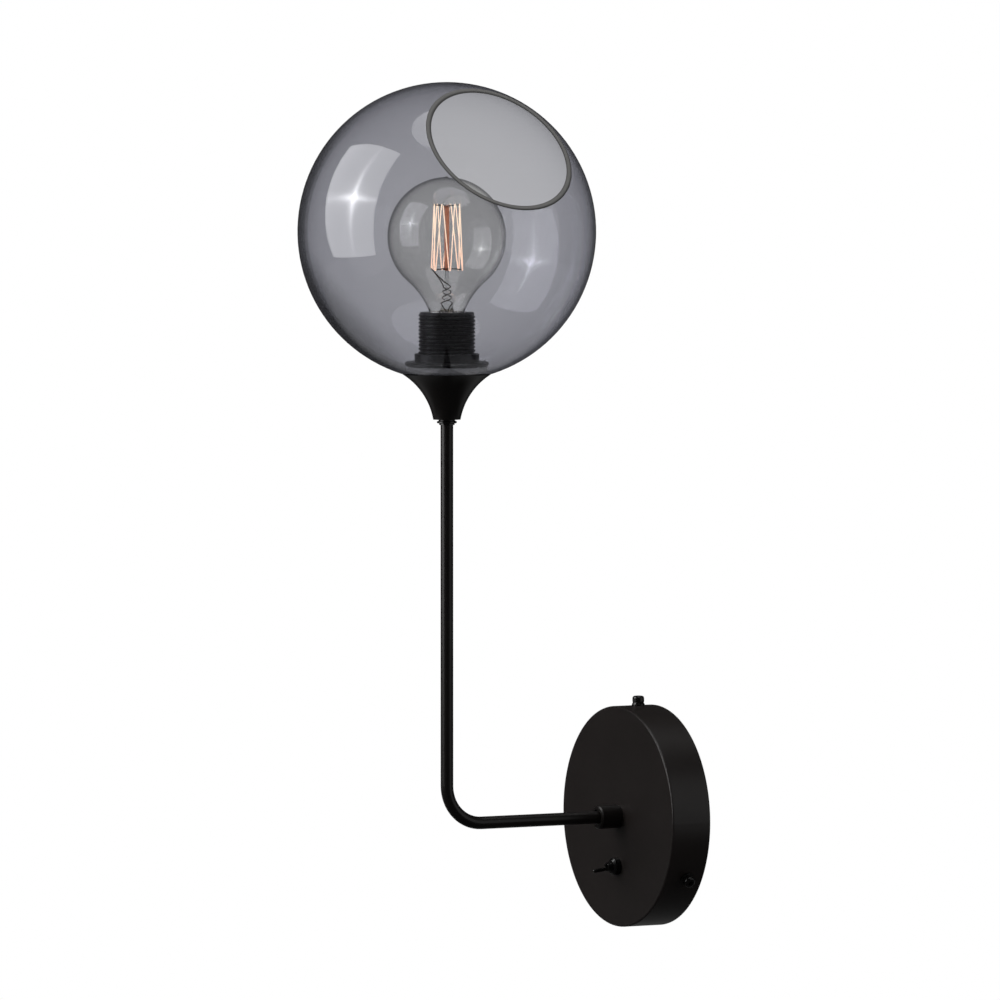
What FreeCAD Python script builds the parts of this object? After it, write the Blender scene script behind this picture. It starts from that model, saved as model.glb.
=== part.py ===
import FreeCAD, Part
import math
import os

# Wall lamp with a smoked glass globe, in millimetres, one STEP file per piece.
# Origin: centre of the wall bracket's back, on the wall. +Z up, -Y out of the wall, +X right.
# Pieces on the wall plate are turned about an axis that stands out of the wall, so they are
# drawn along a local Z (the depth from the wall) and laid down by out_of_wall(). Pieces on
# the upright are drawn on the world Z axis and set over the arm's end by on_upright().

Vector = FreeCAD.Vector

# ---- driving dimensions: wall plate -------------------------------------------------
CANOPY_DIAMETER = 150.0
CANOPY_DEPTH = 29.0
CANOPY_WALL = 1.5
CANOPY_EDGE_RADIUS = 0.9
SIDE_SCREW_FROM_WALL = 12.7
SIDE_SCREW_COUNT = 3
SIDE_SCREW_THREAD = 4.0
SIDE_SCREW_HEAD = 8.0
SIDE_SCREW_HEAD_HEIGHT = 6.4
SIDE_SCREW_FLARE = 8.8
SIDE_SCREW_REACH = 7.0
SIDE_SCREW_SOCKET = 3.0
SIDE_SCREW_CROWN_RADIUS = 1.68
SIDE_SCREW_WAIST = 7.52
SIDE_SCREW_FLARE_HEIGHT = 0.64
SIDE_SCREW_WAIST_HEIGHT = 1.792
SIDE_SCREW_GRIP_HEIGHT = 2.688
SIDE_SCREW_SOCKET_DEPTH = 2.56
BRACKET_SHEET = 1.5
BRACKET_TAB_WIDTH = 14.0
BRACKET_TAB_PAST_SCREW = 6.0
BRACKET_BEND_RADIUS = 2.5
BRACKET_LEG_LENGTH = 14.0
WALL_SLOT_SPACING = 70.0
WALL_SLOT_LENGTH = 14.0
WALL_SLOT_WIDTH = 4.5
CABLE_HOLE_DIAMETER = 20.0
GROMMET_BORE = 12.0
GROMMET_LIP = 2.5
GROMMET_LIP_THICKNESS = 1.5
THREAD_CHAMFER = 0.5
EDGE_EASE = 0.4

# ---- driving dimensions: arm --------------------------------------------------------
ARM_REACH = 161.0
ARM_TUBE_DIAMETER = 8.5
ARM_TUBE_WALL = 1.0
ARM_BEND_RADIUS = 26.0
UPRIGHT_HEIGHT = 268.6
TUBE_IN_SOCKET = 13.0
TUBE_IN_NIPPLE = 8.0
SOCKET_DIAMETER = 16.0
SOCKET_LENGTH = 16.0
SOCKET_CHAMFER = 0.8
SOCKET_RECESS_DIAMETER = 11.0
SOCKET_RECESS_DEPTH = 1.2
STEM_THREAD = 10.0
SOCKET_TAIL_LENGTH = 9.0
ARM_WASHER_DIAMETER = 24.0
ARM_WASHER_THICKNESS = 1.2
ARM_NUT_FLATS = 14.0
ARM_NUT_THICKNESS = 4.0

# ---- driving dimensions: cup under the globe ----------------------------------------
NIPPLE_SKIRT_DIAMETER = 10.4
NIPPLE_SKIRT_HEIGHT = 1.1
NIPPLE_IN_CAP = 9.0
CUP_LOCKNUT_DIAMETER = 13.3
CUP_LOCKNUT_THICKNESS = 1.5
CUP_FOOT_DIAMETER = 11.0
CUP_FOOT_HEIGHT = 1.0
CUP_HEIGHT = 30.2
CUP_RIM_DIAMETER = 59.0
CUP_BASE_DIAMETER = 18.4
CUP_FLARE_RADIUS = 45.0
CUP_WALL = 1.5
CUP_FLOOR = 2.5
CUP_NUT_FLATS = 13.0
CUP_NUT_THICKNESS = 3.0

# ---- driving dimensions: globe ------------------------------------------------------
GLOBE_DIAMETER = 200.0
GLASS_THICKNESS = 1.9
GLOBE_NECK_HOLE = 42.0
MOUTH_DIAMETER = 106.0
MOUTH_TILT = 49.0
MOUTH_YAW = 4.0

# ---- driving dimensions: lampholder and shade ring ----------------------------------
HOLDER_NECK_DIAMETER = 16.0
HOLDER_NECK_HEIGHT = 5.3
HOLDER_CAP_HEIGHT = 26.0
HOLDER_CAP_WALL = 1.8
HOLDER_BARREL_HEIGHT = 40.4
HOLDER_THREAD_ROOT = 37.6
HOLDER_MOUTH_CHAMFER = 1.0
LAMP_BORE = 27.6
HOLDER_BLOCK_THICKNESS = 7.0
HOLDER_LEDGE = 5.5
HOLDER_LEDGE_WIDTH = 2.0
HOLDER_LEDGE_THICKNESS = 1.5
CONTACT_POCKET_DEPTH = 2.8
CONTACT_SCREW_PLACE = 10.54
CONTACT_STRIP = 0.5
CONTACT_WIDTH = 5.0
RING_BORE = 39.4
RING_HUB_DIAMETER = 43.4
RING_HUB_HEIGHT = 5.5
RING_FLANGE_DIAMETER = 56.4
RING_FLANGE_THICKNESS = 2.8
RING_BELOW_HOLDER_TOP = 27.8
GASKET_WIDTH = 5.5

# ---- driving dimensions: bulb -------------------------------------------------------
BULB_DIAMETER = 79.6
BULB_HEIGHT = 118.0
BULB_NECK_RADIUS = 52.0
BULB_NECK_TURN = 48.9
BULB_GLASS = 0.8
BULB_TIP_HEIGHT = 1.0
BULB_TIP_DIAMETER = 3.2
CAP_SHELL_DIAMETER = 26.2
CAP_SHELL_WALL = 0.4
CAP_LENGTH = 27.0
CAP_SHELL_HEIGHT = 23.5
CAP_CONTACT_DIAMETER = 9.6
CAP_CONTACT_HEIGHT = 1.0
CAP_SHELL_FOOT_DIAMETER = 22.008
CAP_TAPER_HEIGHT = 2.5
NECK_IN_CAP = 10.575
STEM_TUBE_DIAMETER = 10.6
STEM_ROD_DIAMETER = 3.2
STEM_PRESS_ABOVE_CAP = 7.5
FILAMENT_BOTTOM_RADIUS = 10.8
FILAMENT_TOP_RADIUS = 8.8
FILAMENT_LENGTH = 43.4
FILAMENT_BELOW_CENTRE = 22.2
FILAMENT_WIRE = 0.5
FILAMENT_PEAKS = 6
FILAMENT_HOOK_WIDTH = 1.3
SUPPORT_WIRE = 0.4

# ---- driving dimensions: switch -----------------------------------------------------
SWITCH_BELOW_ARM = 34.0
BUSHING_DIAMETER = 6.2
BUSHING_LENGTH = 8.8
BUSHING_CHAMFER = 0.3
DRESS_NUT_DIAMETER = 11.6
DRESS_NUT_THICKNESS = 5.4
DRESS_NUT_CHAMFER = 1.5
BACK_NUT_FLATS = 9.0
BACK_NUT_THICKNESS = 2.0
LEVER_DIAMETER = 2.5
LEVER_PIVOT_BEHIND_MOUTH = 10.0
LEVER_OUTSIDE = 10.3
LEVER_INSIDE = 4.2
LEVER_BALL_DIAMETER = 4.0
LEVER_TILT = 7.5
HOUSING_WIDTH = 8.6
HOUSING_HEIGHT = 13.4
HOUSING_DEPTH = 9.5
HOUSING_WALL = 1.1
ROCKER_LENGTH = 8.6
ROCKER_WIDTH = 4.0
ROCKER_SHEET = 0.6
ROCKER_TILT = 9.0
ROCKER_PIN = 1.0
LUG_LENGTH = 5.0
LUG_WIDTH = 3.0
LUG_SHEET = 0.8

# ---- driving dimensions: wiring -----------------------------------------------------
BLOCK_ABOVE_ARM = 40.0
BLOCK_WIDTH = 31.0
BLOCK_HEIGHT = 15.0
BLOCK_DEPTH = 13.0
BLOCK_POLE_PITCH = 10.0
BLOCK_SCREW_DIAMETER = 3.6
BLOCK_ENTRY_HEIGHT = 3.9
BLOCK_DECK_DEPTH = 7.15
BLOCK_TOWER_WIDTH = 8.0
SCREW_SLOT_WIDTH = 0.8
SCREW_SLOT_DEPTH = 0.8
SCREW_RECESS = 0.8
WIRE_DIAMETER = 2.1
WIRE_SPREAD = 1.2
WIRE_BEND_RADIUS = 6.5
EARTH_SCREW_DIAMETER = 4.0
EARTH_SCREW_SIDE = 27.0
EARTH_SCREW_DROP = 24.0
EARTH_HEAD_DIAMETER = 7.6
EARTH_HEAD_SIDE = 1.2
EARTH_HEAD_SHOULDER = 2.1
EARTH_HEAD_HEIGHT = 2.5
EARTH_SLOT_WIDTH = 0.9
EARTH_TAG_SHEET = 0.8
EARTH_TAG_LENGTH = 9.5

# ---- clearances ---------------------------------------------------------------------
THREAD_CLEARANCE = 0.1
HOLE_CLEARANCE = 0.3
SLIP_CLEARANCE = 0.2
SEAT_CLEARANCE = 0.15
TAB_CLEARANCE = 0.4
CONTACT_GAP = 0.25

# ---- worked out from the driving dimensions -----------------------------------------
CANOPY_RADIUS = CANOPY_DIAMETER / 2
CANOPY_FACE_INSIDE = CANOPY_DEPTH - CANOPY_WALL
TAB_FACE = math.sqrt((CANOPY_RADIUS - CANOPY_WALL - TAB_CLEARANCE) ** 2 - (BRACKET_TAB_WIDTH / 2) ** 2)
BRACKET_DISC_RADIUS = TAB_FACE - BRACKET_LEG_LENGTH
SIDE_SCREW_ANGLES = [90 + 360 * turn / SIDE_SCREW_COUNT for turn in range(SIDE_SCREW_COUNT)]
SIDE_SCREW_NAMES = ["side_screw_top", "side_screw_left", "side_screw_right"]
WIRE_PASSAGE = ARM_TUBE_DIAMETER - 2 * ARM_TUBE_WALL
STEM_RADIUS = STEM_THREAD / 2 - THREAD_CLEARANCE / 2
STEM_HOLE_RADIUS = STEM_THREAD / 2 + THREAD_CLEARANCE / 2
TUBE_SEAT_RADIUS = ARM_TUBE_DIAMETER / 2 + THREAD_CLEARANCE / 2
TUBE_START = CANOPY_DEPTH + SOCKET_LENGTH - TUBE_IN_SOCKET
TAIL_END = CANOPY_DEPTH - SOCKET_TAIL_LENGTH
LOCKNUT_FOOT = UPRIGHT_HEIGHT + NIPPLE_SKIRT_HEIGHT
CUP_FOOT = LOCKNUT_FOOT + CUP_LOCKNUT_THICKNESS
CUP_BASE = CUP_FOOT + CUP_FOOT_HEIGHT
CUP_RIM = CUP_BASE + CUP_HEIGHT
CUP_INSIDE = CUP_BASE + CUP_FLOOR
HOLDER_FOOT = CUP_INSIDE + CUP_NUT_THICKNESS
NIPPLE_TOP = HOLDER_FOOT + NIPPLE_IN_CAP
BARREL_FOOT = HOLDER_FOOT + HOLDER_CAP_HEIGHT
HOLDER_TOP = BARREL_FOOT + HOLDER_BARREL_HEIGHT
HOLDER_RADIUS = HOLDER_THREAD_ROOT / 2
BLOCK_SEAT_RADIUS = HOLDER_RADIUS - HOLDER_CAP_WALL
CONTACT_BLOCK_FOOT = BARREL_FOOT - HOLDER_LEDGE
CONTACT_BLOCK_TOP = CONTACT_BLOCK_FOOT + HOLDER_BLOCK_THICKNESS
CONTACT_POCKET = CONTACT_BLOCK_TOP - CONTACT_POCKET_DEPTH
GLOBE_RADIUS = GLOBE_DIAMETER / 2
GLOBE_INNER_RADIUS = GLOBE_RADIUS - GLASS_THICKNESS
CUP_RIM_RADIUS = CUP_RIM_DIAMETER / 2
GLOBE_SEAT_RADIUS = GLOBE_RADIUS + SEAT_CLEARANCE
GLOBE_CENTRE = CUP_RIM + math.sqrt(GLOBE_SEAT_RADIUS ** 2 - CUP_RIM_RADIUS ** 2)
MOUTH_DISTANCE = math.sqrt(GLOBE_RADIUS ** 2 - (MOUTH_DIAMETER / 2) ** 2)
RING_TOP = HOLDER_TOP - RING_BELOW_HOLDER_TOP
RING_FOOT = RING_TOP - RING_HUB_HEIGHT - RING_FLANGE_THICKNESS
CAP_RIM = HOLDER_TOP + HOLDER_MOUTH_CHAMFER / 2
CAP_FOOT = CAP_RIM - CAP_LENGTH
SHELL_FOOT = CAP_RIM - CAP_SHELL_HEIGHT
SHELL_FOOT_RADIUS = CAP_SHELL_FOOT_DIAMETER / 2
NECK_FOOT = CAP_RIM - NECK_IN_CAP
NECK_FOOT_RADIUS = CAP_SHELL_DIAMETER / 2 - 2 * CAP_SHELL_WALL - SLIP_CLEARANCE
BULB_RADIUS = BULB_DIAMETER / 2
BULB_CENTRE = CAP_FOOT + BULB_HEIGHT - BULB_TIP_HEIGHT - BULB_RADIUS
FILAMENT_FOOT = BULB_CENTRE - FILAMENT_BELOW_CENTRE
FILAMENT_TOP = FILAMENT_FOOT + FILAMENT_LENGTH
LEVER_PIVOT_DEPTH = CANOPY_DEPTH + BUSHING_LENGTH - LEVER_PIVOT_BEHIND_MOUTH
BUSHING_MOUTH = CANOPY_DEPTH + BUSHING_LENGTH
HOUSING_FRONT = CANOPY_FACE_INSIDE - BACK_NUT_THICKNESS
HOUSING_BACK = HOUSING_FRONT - HOUSING_DEPTH
ROCKER_DEPTH = LEVER_PIVOT_DEPTH - LEVER_INSIDE - LEVER_DIAMETER / 2 - CONTACT_GAP - ROCKER_SHEET
BLOCK_FRONT = BRACKET_SHEET + BLOCK_DEPTH
BLOCK_SCREW_FOOT = BRACKET_SHEET + BLOCK_DEPTH / 2
QUARTER_ARC_MIDDLE = 1 - math.cos(math.pi / 4)


# ---- drawing helpers ----------------------------------------------------------------
def lathe(start, *steps):
    """Turn a closed (radius, height) outline about Z; a step of two points is an arc."""
    here = Vector(start[0], 0, start[1])
    first = here
    edges = []
    for step in steps + (start,):
        if isinstance(step[0], tuple):
            middle = Vector(step[0][0], 0, step[0][1])
            there = Vector(step[1][0], 0, step[1][1])
            edges.append(Part.Arc(here, middle, there).toShape())
        else:
            there = Vector(step[0], 0, step[1])
            if there.distanceToPoint(here) > 1e-6:
                edges.append(Part.LineSegment(here, there).toShape())
        here = there
    face = Part.Face(Part.Wire(edges))
    return face.revolve(Vector(0, 0, 0), Vector(0, 0, 1), 360)


def rod(radius, low, high, x=0, y=0):
    """Upright cylinder between two heights."""
    return Part.makeCylinder(radius, high - low, Vector(x, y, low))


def ring(outer, inner, low, high):
    """Upright tube between two heights."""
    return rod(outer, low, high).cut(rod(inner, low - 1, high + 1))


def block(width, depth, height, x=0, y=0, low=0):
    """Box centred on x and y that stands on a height."""
    return Part.makeBox(width, depth, height, Vector(x - width / 2, y - depth / 2, low))


def hexagon(flats, low, high):
    """Upright hexagonal prism, measured across its flats."""
    corner = flats / 2 / math.cos(math.pi / 6)
    points = [Vector(corner * math.cos(math.radians(60 * side)),
                     corner * math.sin(math.radians(60 * side)), low) for side in range(7)]
    return Part.Face(Part.makePolygon(points)).extrude(Vector(0, 0, high - low))


def hex_nut(flats, bore, low, high):
    """Hexagonal nut whose corners are turned off on both faces."""
    corner = flats / 2 / math.cos(math.pi / 6)
    turned = 0.5 * (corner - flats / 2)
    barrel = lathe((0, low), (corner - 2 * turned, low), (corner, low + turned),
                   (corner, high - turned), (corner - 2 * turned, high), (0, high))
    return hexagon(flats, low, high).common(barrel).cut(rod(bore, low - 1, high + 1))


def arc_point(centre, radius, angle):
    """Point of a circle in the (radius, height) plane, at an angle above the level."""
    return (centre[0] + radius * math.cos(math.radians(angle)),
            centre[1] + radius * math.sin(math.radians(angle)))


def out_of_wall(shape, below_arm=0):
    """Lay local Z along -Y, out of the wall, at a height below the arm's axis."""
    shape = shape.copy()
    shape.rotate(Vector(0, 0, 0), Vector(1, 0, 0), 90)
    shape.translate(Vector(0, 0, -below_arm))
    return shape


def on_upright(shape):
    """Set a shape drawn on the Z axis over the end of the arm."""
    shape = shape.copy()
    shape.translate(Vector(0, -ARM_REACH, 0))
    return shape


def rounded_route(points, bends):
    """Straight runs joined by tangent arcs, one bend radius for each corner, as one wire."""
    edges = []
    here = points[0]
    for before, corner, after, radius in zip(points, points[1:], points[2:], bends):
        back = (before - corner).normalize()
        ahead = (after - corner).normalize()
        half_turn = (math.pi - back.getAngle(ahead)) / 2
        setback = radius * math.tan(half_turn)
        centre = corner + (back + ahead).normalize() * (radius / math.cos(half_turn))
        enter = corner + back * setback
        leave = corner + ahead * setback
        middle = centre + (corner - centre).normalize() * radius
        edges.append(Part.LineSegment(here, enter).toShape())
        edges.append(Part.Arc(enter, middle, leave).toShape())
        here = leave
    edges.append(Part.LineSegment(here, points[-1]).toShape())
    return Part.Wire(edges)


def sweep_round(points, bends, radius):
    """Round bar along straight runs joined by tangent arcs."""
    route = rounded_route(points, bends)
    section = Part.Wire(Part.makeCircle(radius, points[0], points[1] - points[0]))
    return route.makePipeShell([section], True, False)


# ---- wall plate ---------------------------------------------------------------------
def bracket_leg():
    """One leg of the bracket: it leaves the disc along +X and bends forward into a tab."""
    top = SIDE_SCREW_FROM_WALL + BRACKET_TAB_PAST_SCREW
    start = BRACKET_DISC_RADIUS - BRACKET_LEG_LENGTH / 2
    outer_turn = TAB_FACE - BRACKET_BEND_RADIUS
    inner = TAB_FACE - BRACKET_SHEET
    centre = (outer_turn, BRACKET_BEND_RADIUS)
    outer_middle = arc_point(centre, BRACKET_BEND_RADIUS, -45)
    inner_middle = arc_point(centre, BRACKET_BEND_RADIUS - BRACKET_SHEET, -45)
    shift = -BRACKET_TAB_WIDTH / 2

    def at(point):
        return Vector(point[0], shift, point[1])

    edges = [
        Part.LineSegment(at((start, 0)), at((outer_turn, 0))).toShape(),
        Part.Arc(at((outer_turn, 0)), at(outer_middle), at((TAB_FACE, BRACKET_BEND_RADIUS))).toShape(),
        Part.LineSegment(at((TAB_FACE, BRACKET_BEND_RADIUS)), at((TAB_FACE, top))).toShape(),
        Part.LineSegment(at((TAB_FACE, top)), at((inner, top))).toShape(),
        Part.LineSegment(at((inner, top)), at((inner, BRACKET_BEND_RADIUS))).toShape(),
        Part.Arc(at((inner, BRACKET_BEND_RADIUS)), at(inner_middle),
                 at((outer_turn, BRACKET_SHEET))).toShape(),
        Part.LineSegment(at((outer_turn, BRACKET_SHEET)), at((start, BRACKET_SHEET))).toShape(),
        Part.LineSegment(at((start, BRACKET_SHEET)), at((start, 0))).toShape(),
    ]
    leg = Part.Face(Part.Wire(edges)).extrude(Vector(0, BRACKET_TAB_WIDTH, 0))
    hole = Part.makeCylinder(SIDE_SCREW_THREAD / 2 + THREAD_CLEARANCE / 2, 4 * BRACKET_SHEET,
                             Vector(inner - BRACKET_SHEET, 0, SIDE_SCREW_FROM_WALL), Vector(1, 0, 0))
    return leg.cut(hole)


def wall_slot(x):
    """Cutter for one slotted wall-screw hole, long along X."""
    half = WALL_SLOT_WIDTH / 2
    straight = WALL_SLOT_LENGTH - WALL_SLOT_WIDTH
    slot = block(straight, WALL_SLOT_WIDTH, 3 * BRACKET_SHEET, x, 0, -BRACKET_SHEET)
    for end in (-straight / 2, straight / 2):
        slot = slot.fuse(rod(half, -BRACKET_SHEET, 2 * BRACKET_SHEET, x + end))
    return slot


def wall_bracket():
    """Steel disc on the wall with three tapped tabs that the canopy is screwed to."""
    plate = rod(BRACKET_DISC_RADIUS, 0, BRACKET_SHEET)
    for angle in SIDE_SCREW_ANGLES:
        leg = bracket_leg()
        leg.rotate(Vector(0, 0, 0), Vector(0, 0, 1), angle)
        plate = plate.fuse(leg)
    plate = plate.cut(rod(CABLE_HOLE_DIAMETER / 2, -1, BRACKET_SHEET + 1))
    for x in (-WALL_SLOT_SPACING / 2, WALL_SLOT_SPACING / 2):
        plate = plate.cut(wall_slot(x))
    earth_hole = rod(EARTH_SCREW_DIAMETER / 2 + THREAD_CLEARANCE / 2, -1, BRACKET_SHEET + 1,
                     -EARTH_SCREW_SIDE, -EARTH_SCREW_DROP)
    return out_of_wall(plate.cut(earth_hole).removeSplitter())


def cable_grommet():
    """Rubber ring in the bracket's cable hole, with a lip in front of the sheet."""
    hole = CABLE_HOLE_DIAMETER / 2
    lip_top = BRACKET_SHEET + GROMMET_LIP_THICKNESS
    bore = GROMMET_BORE / 2
    lip = hole + GROMMET_LIP
    body = lathe((bore, 0), (hole, 0), (hole, BRACKET_SHEET), (lip, BRACKET_SHEET),
                 (lip, lip_top - EDGE_EASE), (lip - EDGE_EASE, lip_top), (bore, lip_top))
    return out_of_wall(body)


def canopy():
    """Pressed steel cup that hides the bracket and carries the arm and the switch."""
    outer = rod(CANOPY_RADIUS, 0, CANOPY_DEPTH)
    front = [edge for edge in outer.Edges
             if abs(edge.BoundBox.ZMin - CANOPY_DEPTH) < 0.01 and len(edge.Vertexes) == 1]
    cup = outer.makeFillet(CANOPY_EDGE_RADIUS, front)
    cup = cup.cut(rod(CANOPY_RADIUS - CANOPY_WALL, -1, CANOPY_FACE_INSIDE))
    cup = cup.cut(rod(STEM_HOLE_RADIUS, CANOPY_FACE_INSIDE - 1, CANOPY_DEPTH + 1))
    switch_hole = rod(BUSHING_DIAMETER / 2 + HOLE_CLEARANCE / 2, CANOPY_FACE_INSIDE - 1,
                      CANOPY_DEPTH + 1, 0, -SWITCH_BELOW_ARM)
    cup = cup.cut(switch_hole)
    for angle in SIDE_SCREW_ANGLES:
        hole = Part.makeCylinder(SIDE_SCREW_THREAD / 2 + HOLE_CLEARANCE, 3 * CANOPY_WALL,
                                 Vector(CANOPY_RADIUS - 2 * CANOPY_WALL, 0, SIDE_SCREW_FROM_WALL),
                                 Vector(1, 0, 0))
        hole.rotate(Vector(0, 0, 0), Vector(0, 0, 1), angle)
        cup = cup.cut(hole)
    return out_of_wall(cup)


def side_screw(angle):
    """Thumb screw through the canopy's rim into a bracket tab, at an angle round the rim."""
    head = SIDE_SCREW_HEAD / 2
    flare = SIDE_SCREW_FLARE / 2
    shank = SIDE_SCREW_THREAD / 2
    top = SIDE_SCREW_HEAD_HEIGHT
    crown = SIDE_SCREW_CROWN_RADIUS
    waist = SIDE_SCREW_WAIST / 2
    floor = top - SIDE_SCREW_SOCKET_DEPTH
    crown_middle = arc_point((head - crown, top - crown), crown, 45)
    body = lathe((0, -SIDE_SCREW_REACH), (shank - THREAD_CHAMFER, -SIDE_SCREW_REACH),
                 (shank, THREAD_CHAMFER - SIDE_SCREW_REACH), (shank, 0), (flare, 0),
                 (flare, SIDE_SCREW_FLARE_HEIGHT), (waist, SIDE_SCREW_WAIST_HEIGHT),
                 (head, SIDE_SCREW_GRIP_HEIGHT), (head, top - crown),
                 (crown_middle, (head - crown, top)), (0, top))
    body = body.cut(hexagon(SIDE_SCREW_SOCKET, floor, top + 1))
    body.translate(Vector(0, 0, CANOPY_RADIUS + SEAT_CLEARANCE))
    body.rotate(Vector(0, 0, 0), Vector(0, 1, 0), 90 - angle)
    body.translate(Vector(0, -SIDE_SCREW_FROM_WALL, 0))
    return body


# ---- arm ----------------------------------------------------------------------------
def arm_socket():
    """Turned collar on the canopy that holds the tube; its threaded tail passes inside."""
    outer = SOCKET_DIAMETER / 2
    front = CANOPY_DEPTH + SOCKET_LENGTH
    recess = SOCKET_RECESS_DIAMETER / 2
    body = lathe((WIRE_PASSAGE / 2, TAIL_END), (STEM_RADIUS - THREAD_CHAMFER, TAIL_END),
                 (STEM_RADIUS, TAIL_END + THREAD_CHAMFER), (STEM_RADIUS, CANOPY_DEPTH),
                 (outer, CANOPY_DEPTH), (outer, front - SOCKET_CHAMFER),
                 (outer - SOCKET_CHAMFER, front), (recess, front), (recess, front - SOCKET_RECESS_DEPTH),
                 (TUBE_SEAT_RADIUS, front - SOCKET_RECESS_DEPTH), (TUBE_SEAT_RADIUS, TUBE_START),
                 (WIRE_PASSAGE / 2, TUBE_START))
    return out_of_wall(body)


def arm_washer():
    """Broad washer between the canopy's inside and the arm's nut."""
    low = CANOPY_FACE_INSIDE - ARM_WASHER_THICKNESS
    return out_of_wall(ring(ARM_WASHER_DIAMETER / 2, STEM_HOLE_RADIUS, low, CANOPY_FACE_INSIDE))


def arm_nut():
    """Hexagonal nut on the socket's tail, inside the canopy."""
    high = CANOPY_FACE_INSIDE - ARM_WASHER_THICKNESS
    return out_of_wall(hex_nut(ARM_NUT_FLATS, STEM_HOLE_RADIUS, high - ARM_NUT_THICKNESS, high))


def arm_tube():
    """Steel tube out of the socket, round one bend and up to the cup's nipple."""
    top = UPRIGHT_HEIGHT + TUBE_IN_NIPPLE
    route = [Vector(0, -TUBE_START, 0), Vector(0, -ARM_REACH, 0), Vector(0, -ARM_REACH, top)]
    outside = sweep_round(route, [ARM_BEND_RADIUS], ARM_TUBE_DIAMETER / 2)
    inside = sweep_round(route, [ARM_BEND_RADIUS], WIRE_PASSAGE / 2)
    return outside.cut(inside)


def arm_nipple():
    """Threaded nipple brazed over the tube's top; it carries the cup and the lampholder."""
    skirt = NIPPLE_SKIRT_DIAMETER / 2
    seat = UPRIGHT_HEIGHT + TUBE_IN_NIPPLE
    body = lathe((TUBE_SEAT_RADIUS, UPRIGHT_HEIGHT), (skirt, UPRIGHT_HEIGHT), (skirt, LOCKNUT_FOOT),
                 (STEM_RADIUS, LOCKNUT_FOOT), (STEM_RADIUS, NIPPLE_TOP - THREAD_CHAMFER),
                 (STEM_RADIUS - THREAD_CHAMFER, NIPPLE_TOP), (WIRE_PASSAGE / 2, NIPPLE_TOP),
                 (WIRE_PASSAGE / 2, seat), (TUBE_SEAT_RADIUS, seat))
    return on_upright(body)


# ---- cup under the globe ------------------------------------------------------------
def cup_locknut():
    """Thin round nut under the cup."""
    outer = CUP_LOCKNUT_DIAMETER / 2
    ease = 0.25 * CUP_LOCKNUT_THICKNESS
    body = lathe((STEM_HOLE_RADIUS, LOCKNUT_FOOT), (outer - ease, LOCKNUT_FOOT), (outer, LOCKNUT_FOOT + ease),
                 (outer, CUP_FOOT - ease), (outer - ease, CUP_FOOT), (STEM_HOLE_RADIUS, CUP_FOOT))
    return on_upright(body)


def flare_arc(base_radius, rim_radius, base, rim, radius):
    """Middle point of the trumpet's hollow curve between its base and its rim."""
    start = Vector(base_radius, 0, base)
    end = Vector(rim_radius, 0, rim)
    chord = end - start
    bow = radius - math.sqrt(radius ** 2 - (chord.Length / 2) ** 2)
    inward = Vector(-chord.z, 0, chord.x).normalize()
    middle = (start + end) * 0.5 + inward * bow
    return (middle.x, middle.z)


def seat_point(radius):
    """Point of the cup's rim that follows the globe just below the glass."""
    return (radius, GLOBE_CENTRE - math.sqrt(GLOBE_SEAT_RADIUS ** 2 - radius ** 2))


def trumpet_cup():
    """Turned cup: a hollow trumpet whose rim is dished to carry the globe."""
    base = CUP_BASE_DIAMETER / 2
    foot = CUP_FOOT_DIAMETER / 2
    outer_middle = flare_arc(base, CUP_RIM_RADIUS, CUP_BASE, CUP_RIM, CUP_FLARE_RADIUS)
    inner_base = base - CUP_WALL + 0.25 * CUP_FLOOR
    inner_rim = seat_point(CUP_RIM_RADIUS - CUP_WALL)
    inner_middle = flare_arc(inner_base, inner_rim[0], CUP_INSIDE, inner_rim[1], CUP_FLARE_RADIUS - CUP_WALL)
    body = lathe((STEM_HOLE_RADIUS, CUP_FOOT), (foot, CUP_FOOT), (foot, CUP_BASE), (base, CUP_BASE),
                 (outer_middle, (CUP_RIM_RADIUS, CUP_RIM)),
                 (seat_point(CUP_RIM_RADIUS - CUP_WALL / 2), inner_rim),
                 (inner_middle, (inner_base, CUP_INSIDE)), (STEM_HOLE_RADIUS, CUP_INSIDE))
    return on_upright(body)


def cup_nut():
    """Hexagonal nut that clamps the cup's floor to the nipple."""
    return on_upright(hex_nut(CUP_NUT_FLATS, STEM_HOLE_RADIUS, CUP_INSIDE, HOLDER_FOOT))


# ---- lampholder ---------------------------------------------------------------------
def lampholder_cap():
    """Lower half of the lampholder: a hollow dome screwed on the nipple."""
    neck = HOLDER_NECK_DIAMETER / 2
    shoulder = HOLDER_FOOT + HOLDER_NECK_HEIGHT
    wall_foot = BARREL_FOOT - 0.9 * HOLDER_LEDGE
    inside_foot = HOLDER_FOOT + NIPPLE_IN_CAP
    ledge_radius = BLOCK_SEAT_RADIUS - HOLDER_LEDGE_WIDTH
    body = lathe((STEM_HOLE_RADIUS, HOLDER_FOOT), (neck, HOLDER_FOOT), (neck, shoulder),
                 (HOLDER_RADIUS, wall_foot), (HOLDER_RADIUS, BARREL_FOOT), (BLOCK_SEAT_RADIUS, BARREL_FOOT),
                 (BLOCK_SEAT_RADIUS, CONTACT_BLOCK_FOOT), (ledge_radius, CONTACT_BLOCK_FOOT),
                 (ledge_radius, CONTACT_BLOCK_FOOT - HOLDER_LEDGE_THICKNESS),
                 (neck - HOLDER_CAP_WALL, inside_foot),
                 (STEM_HOLE_RADIUS, inside_foot))
    return on_upright(body)


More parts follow.
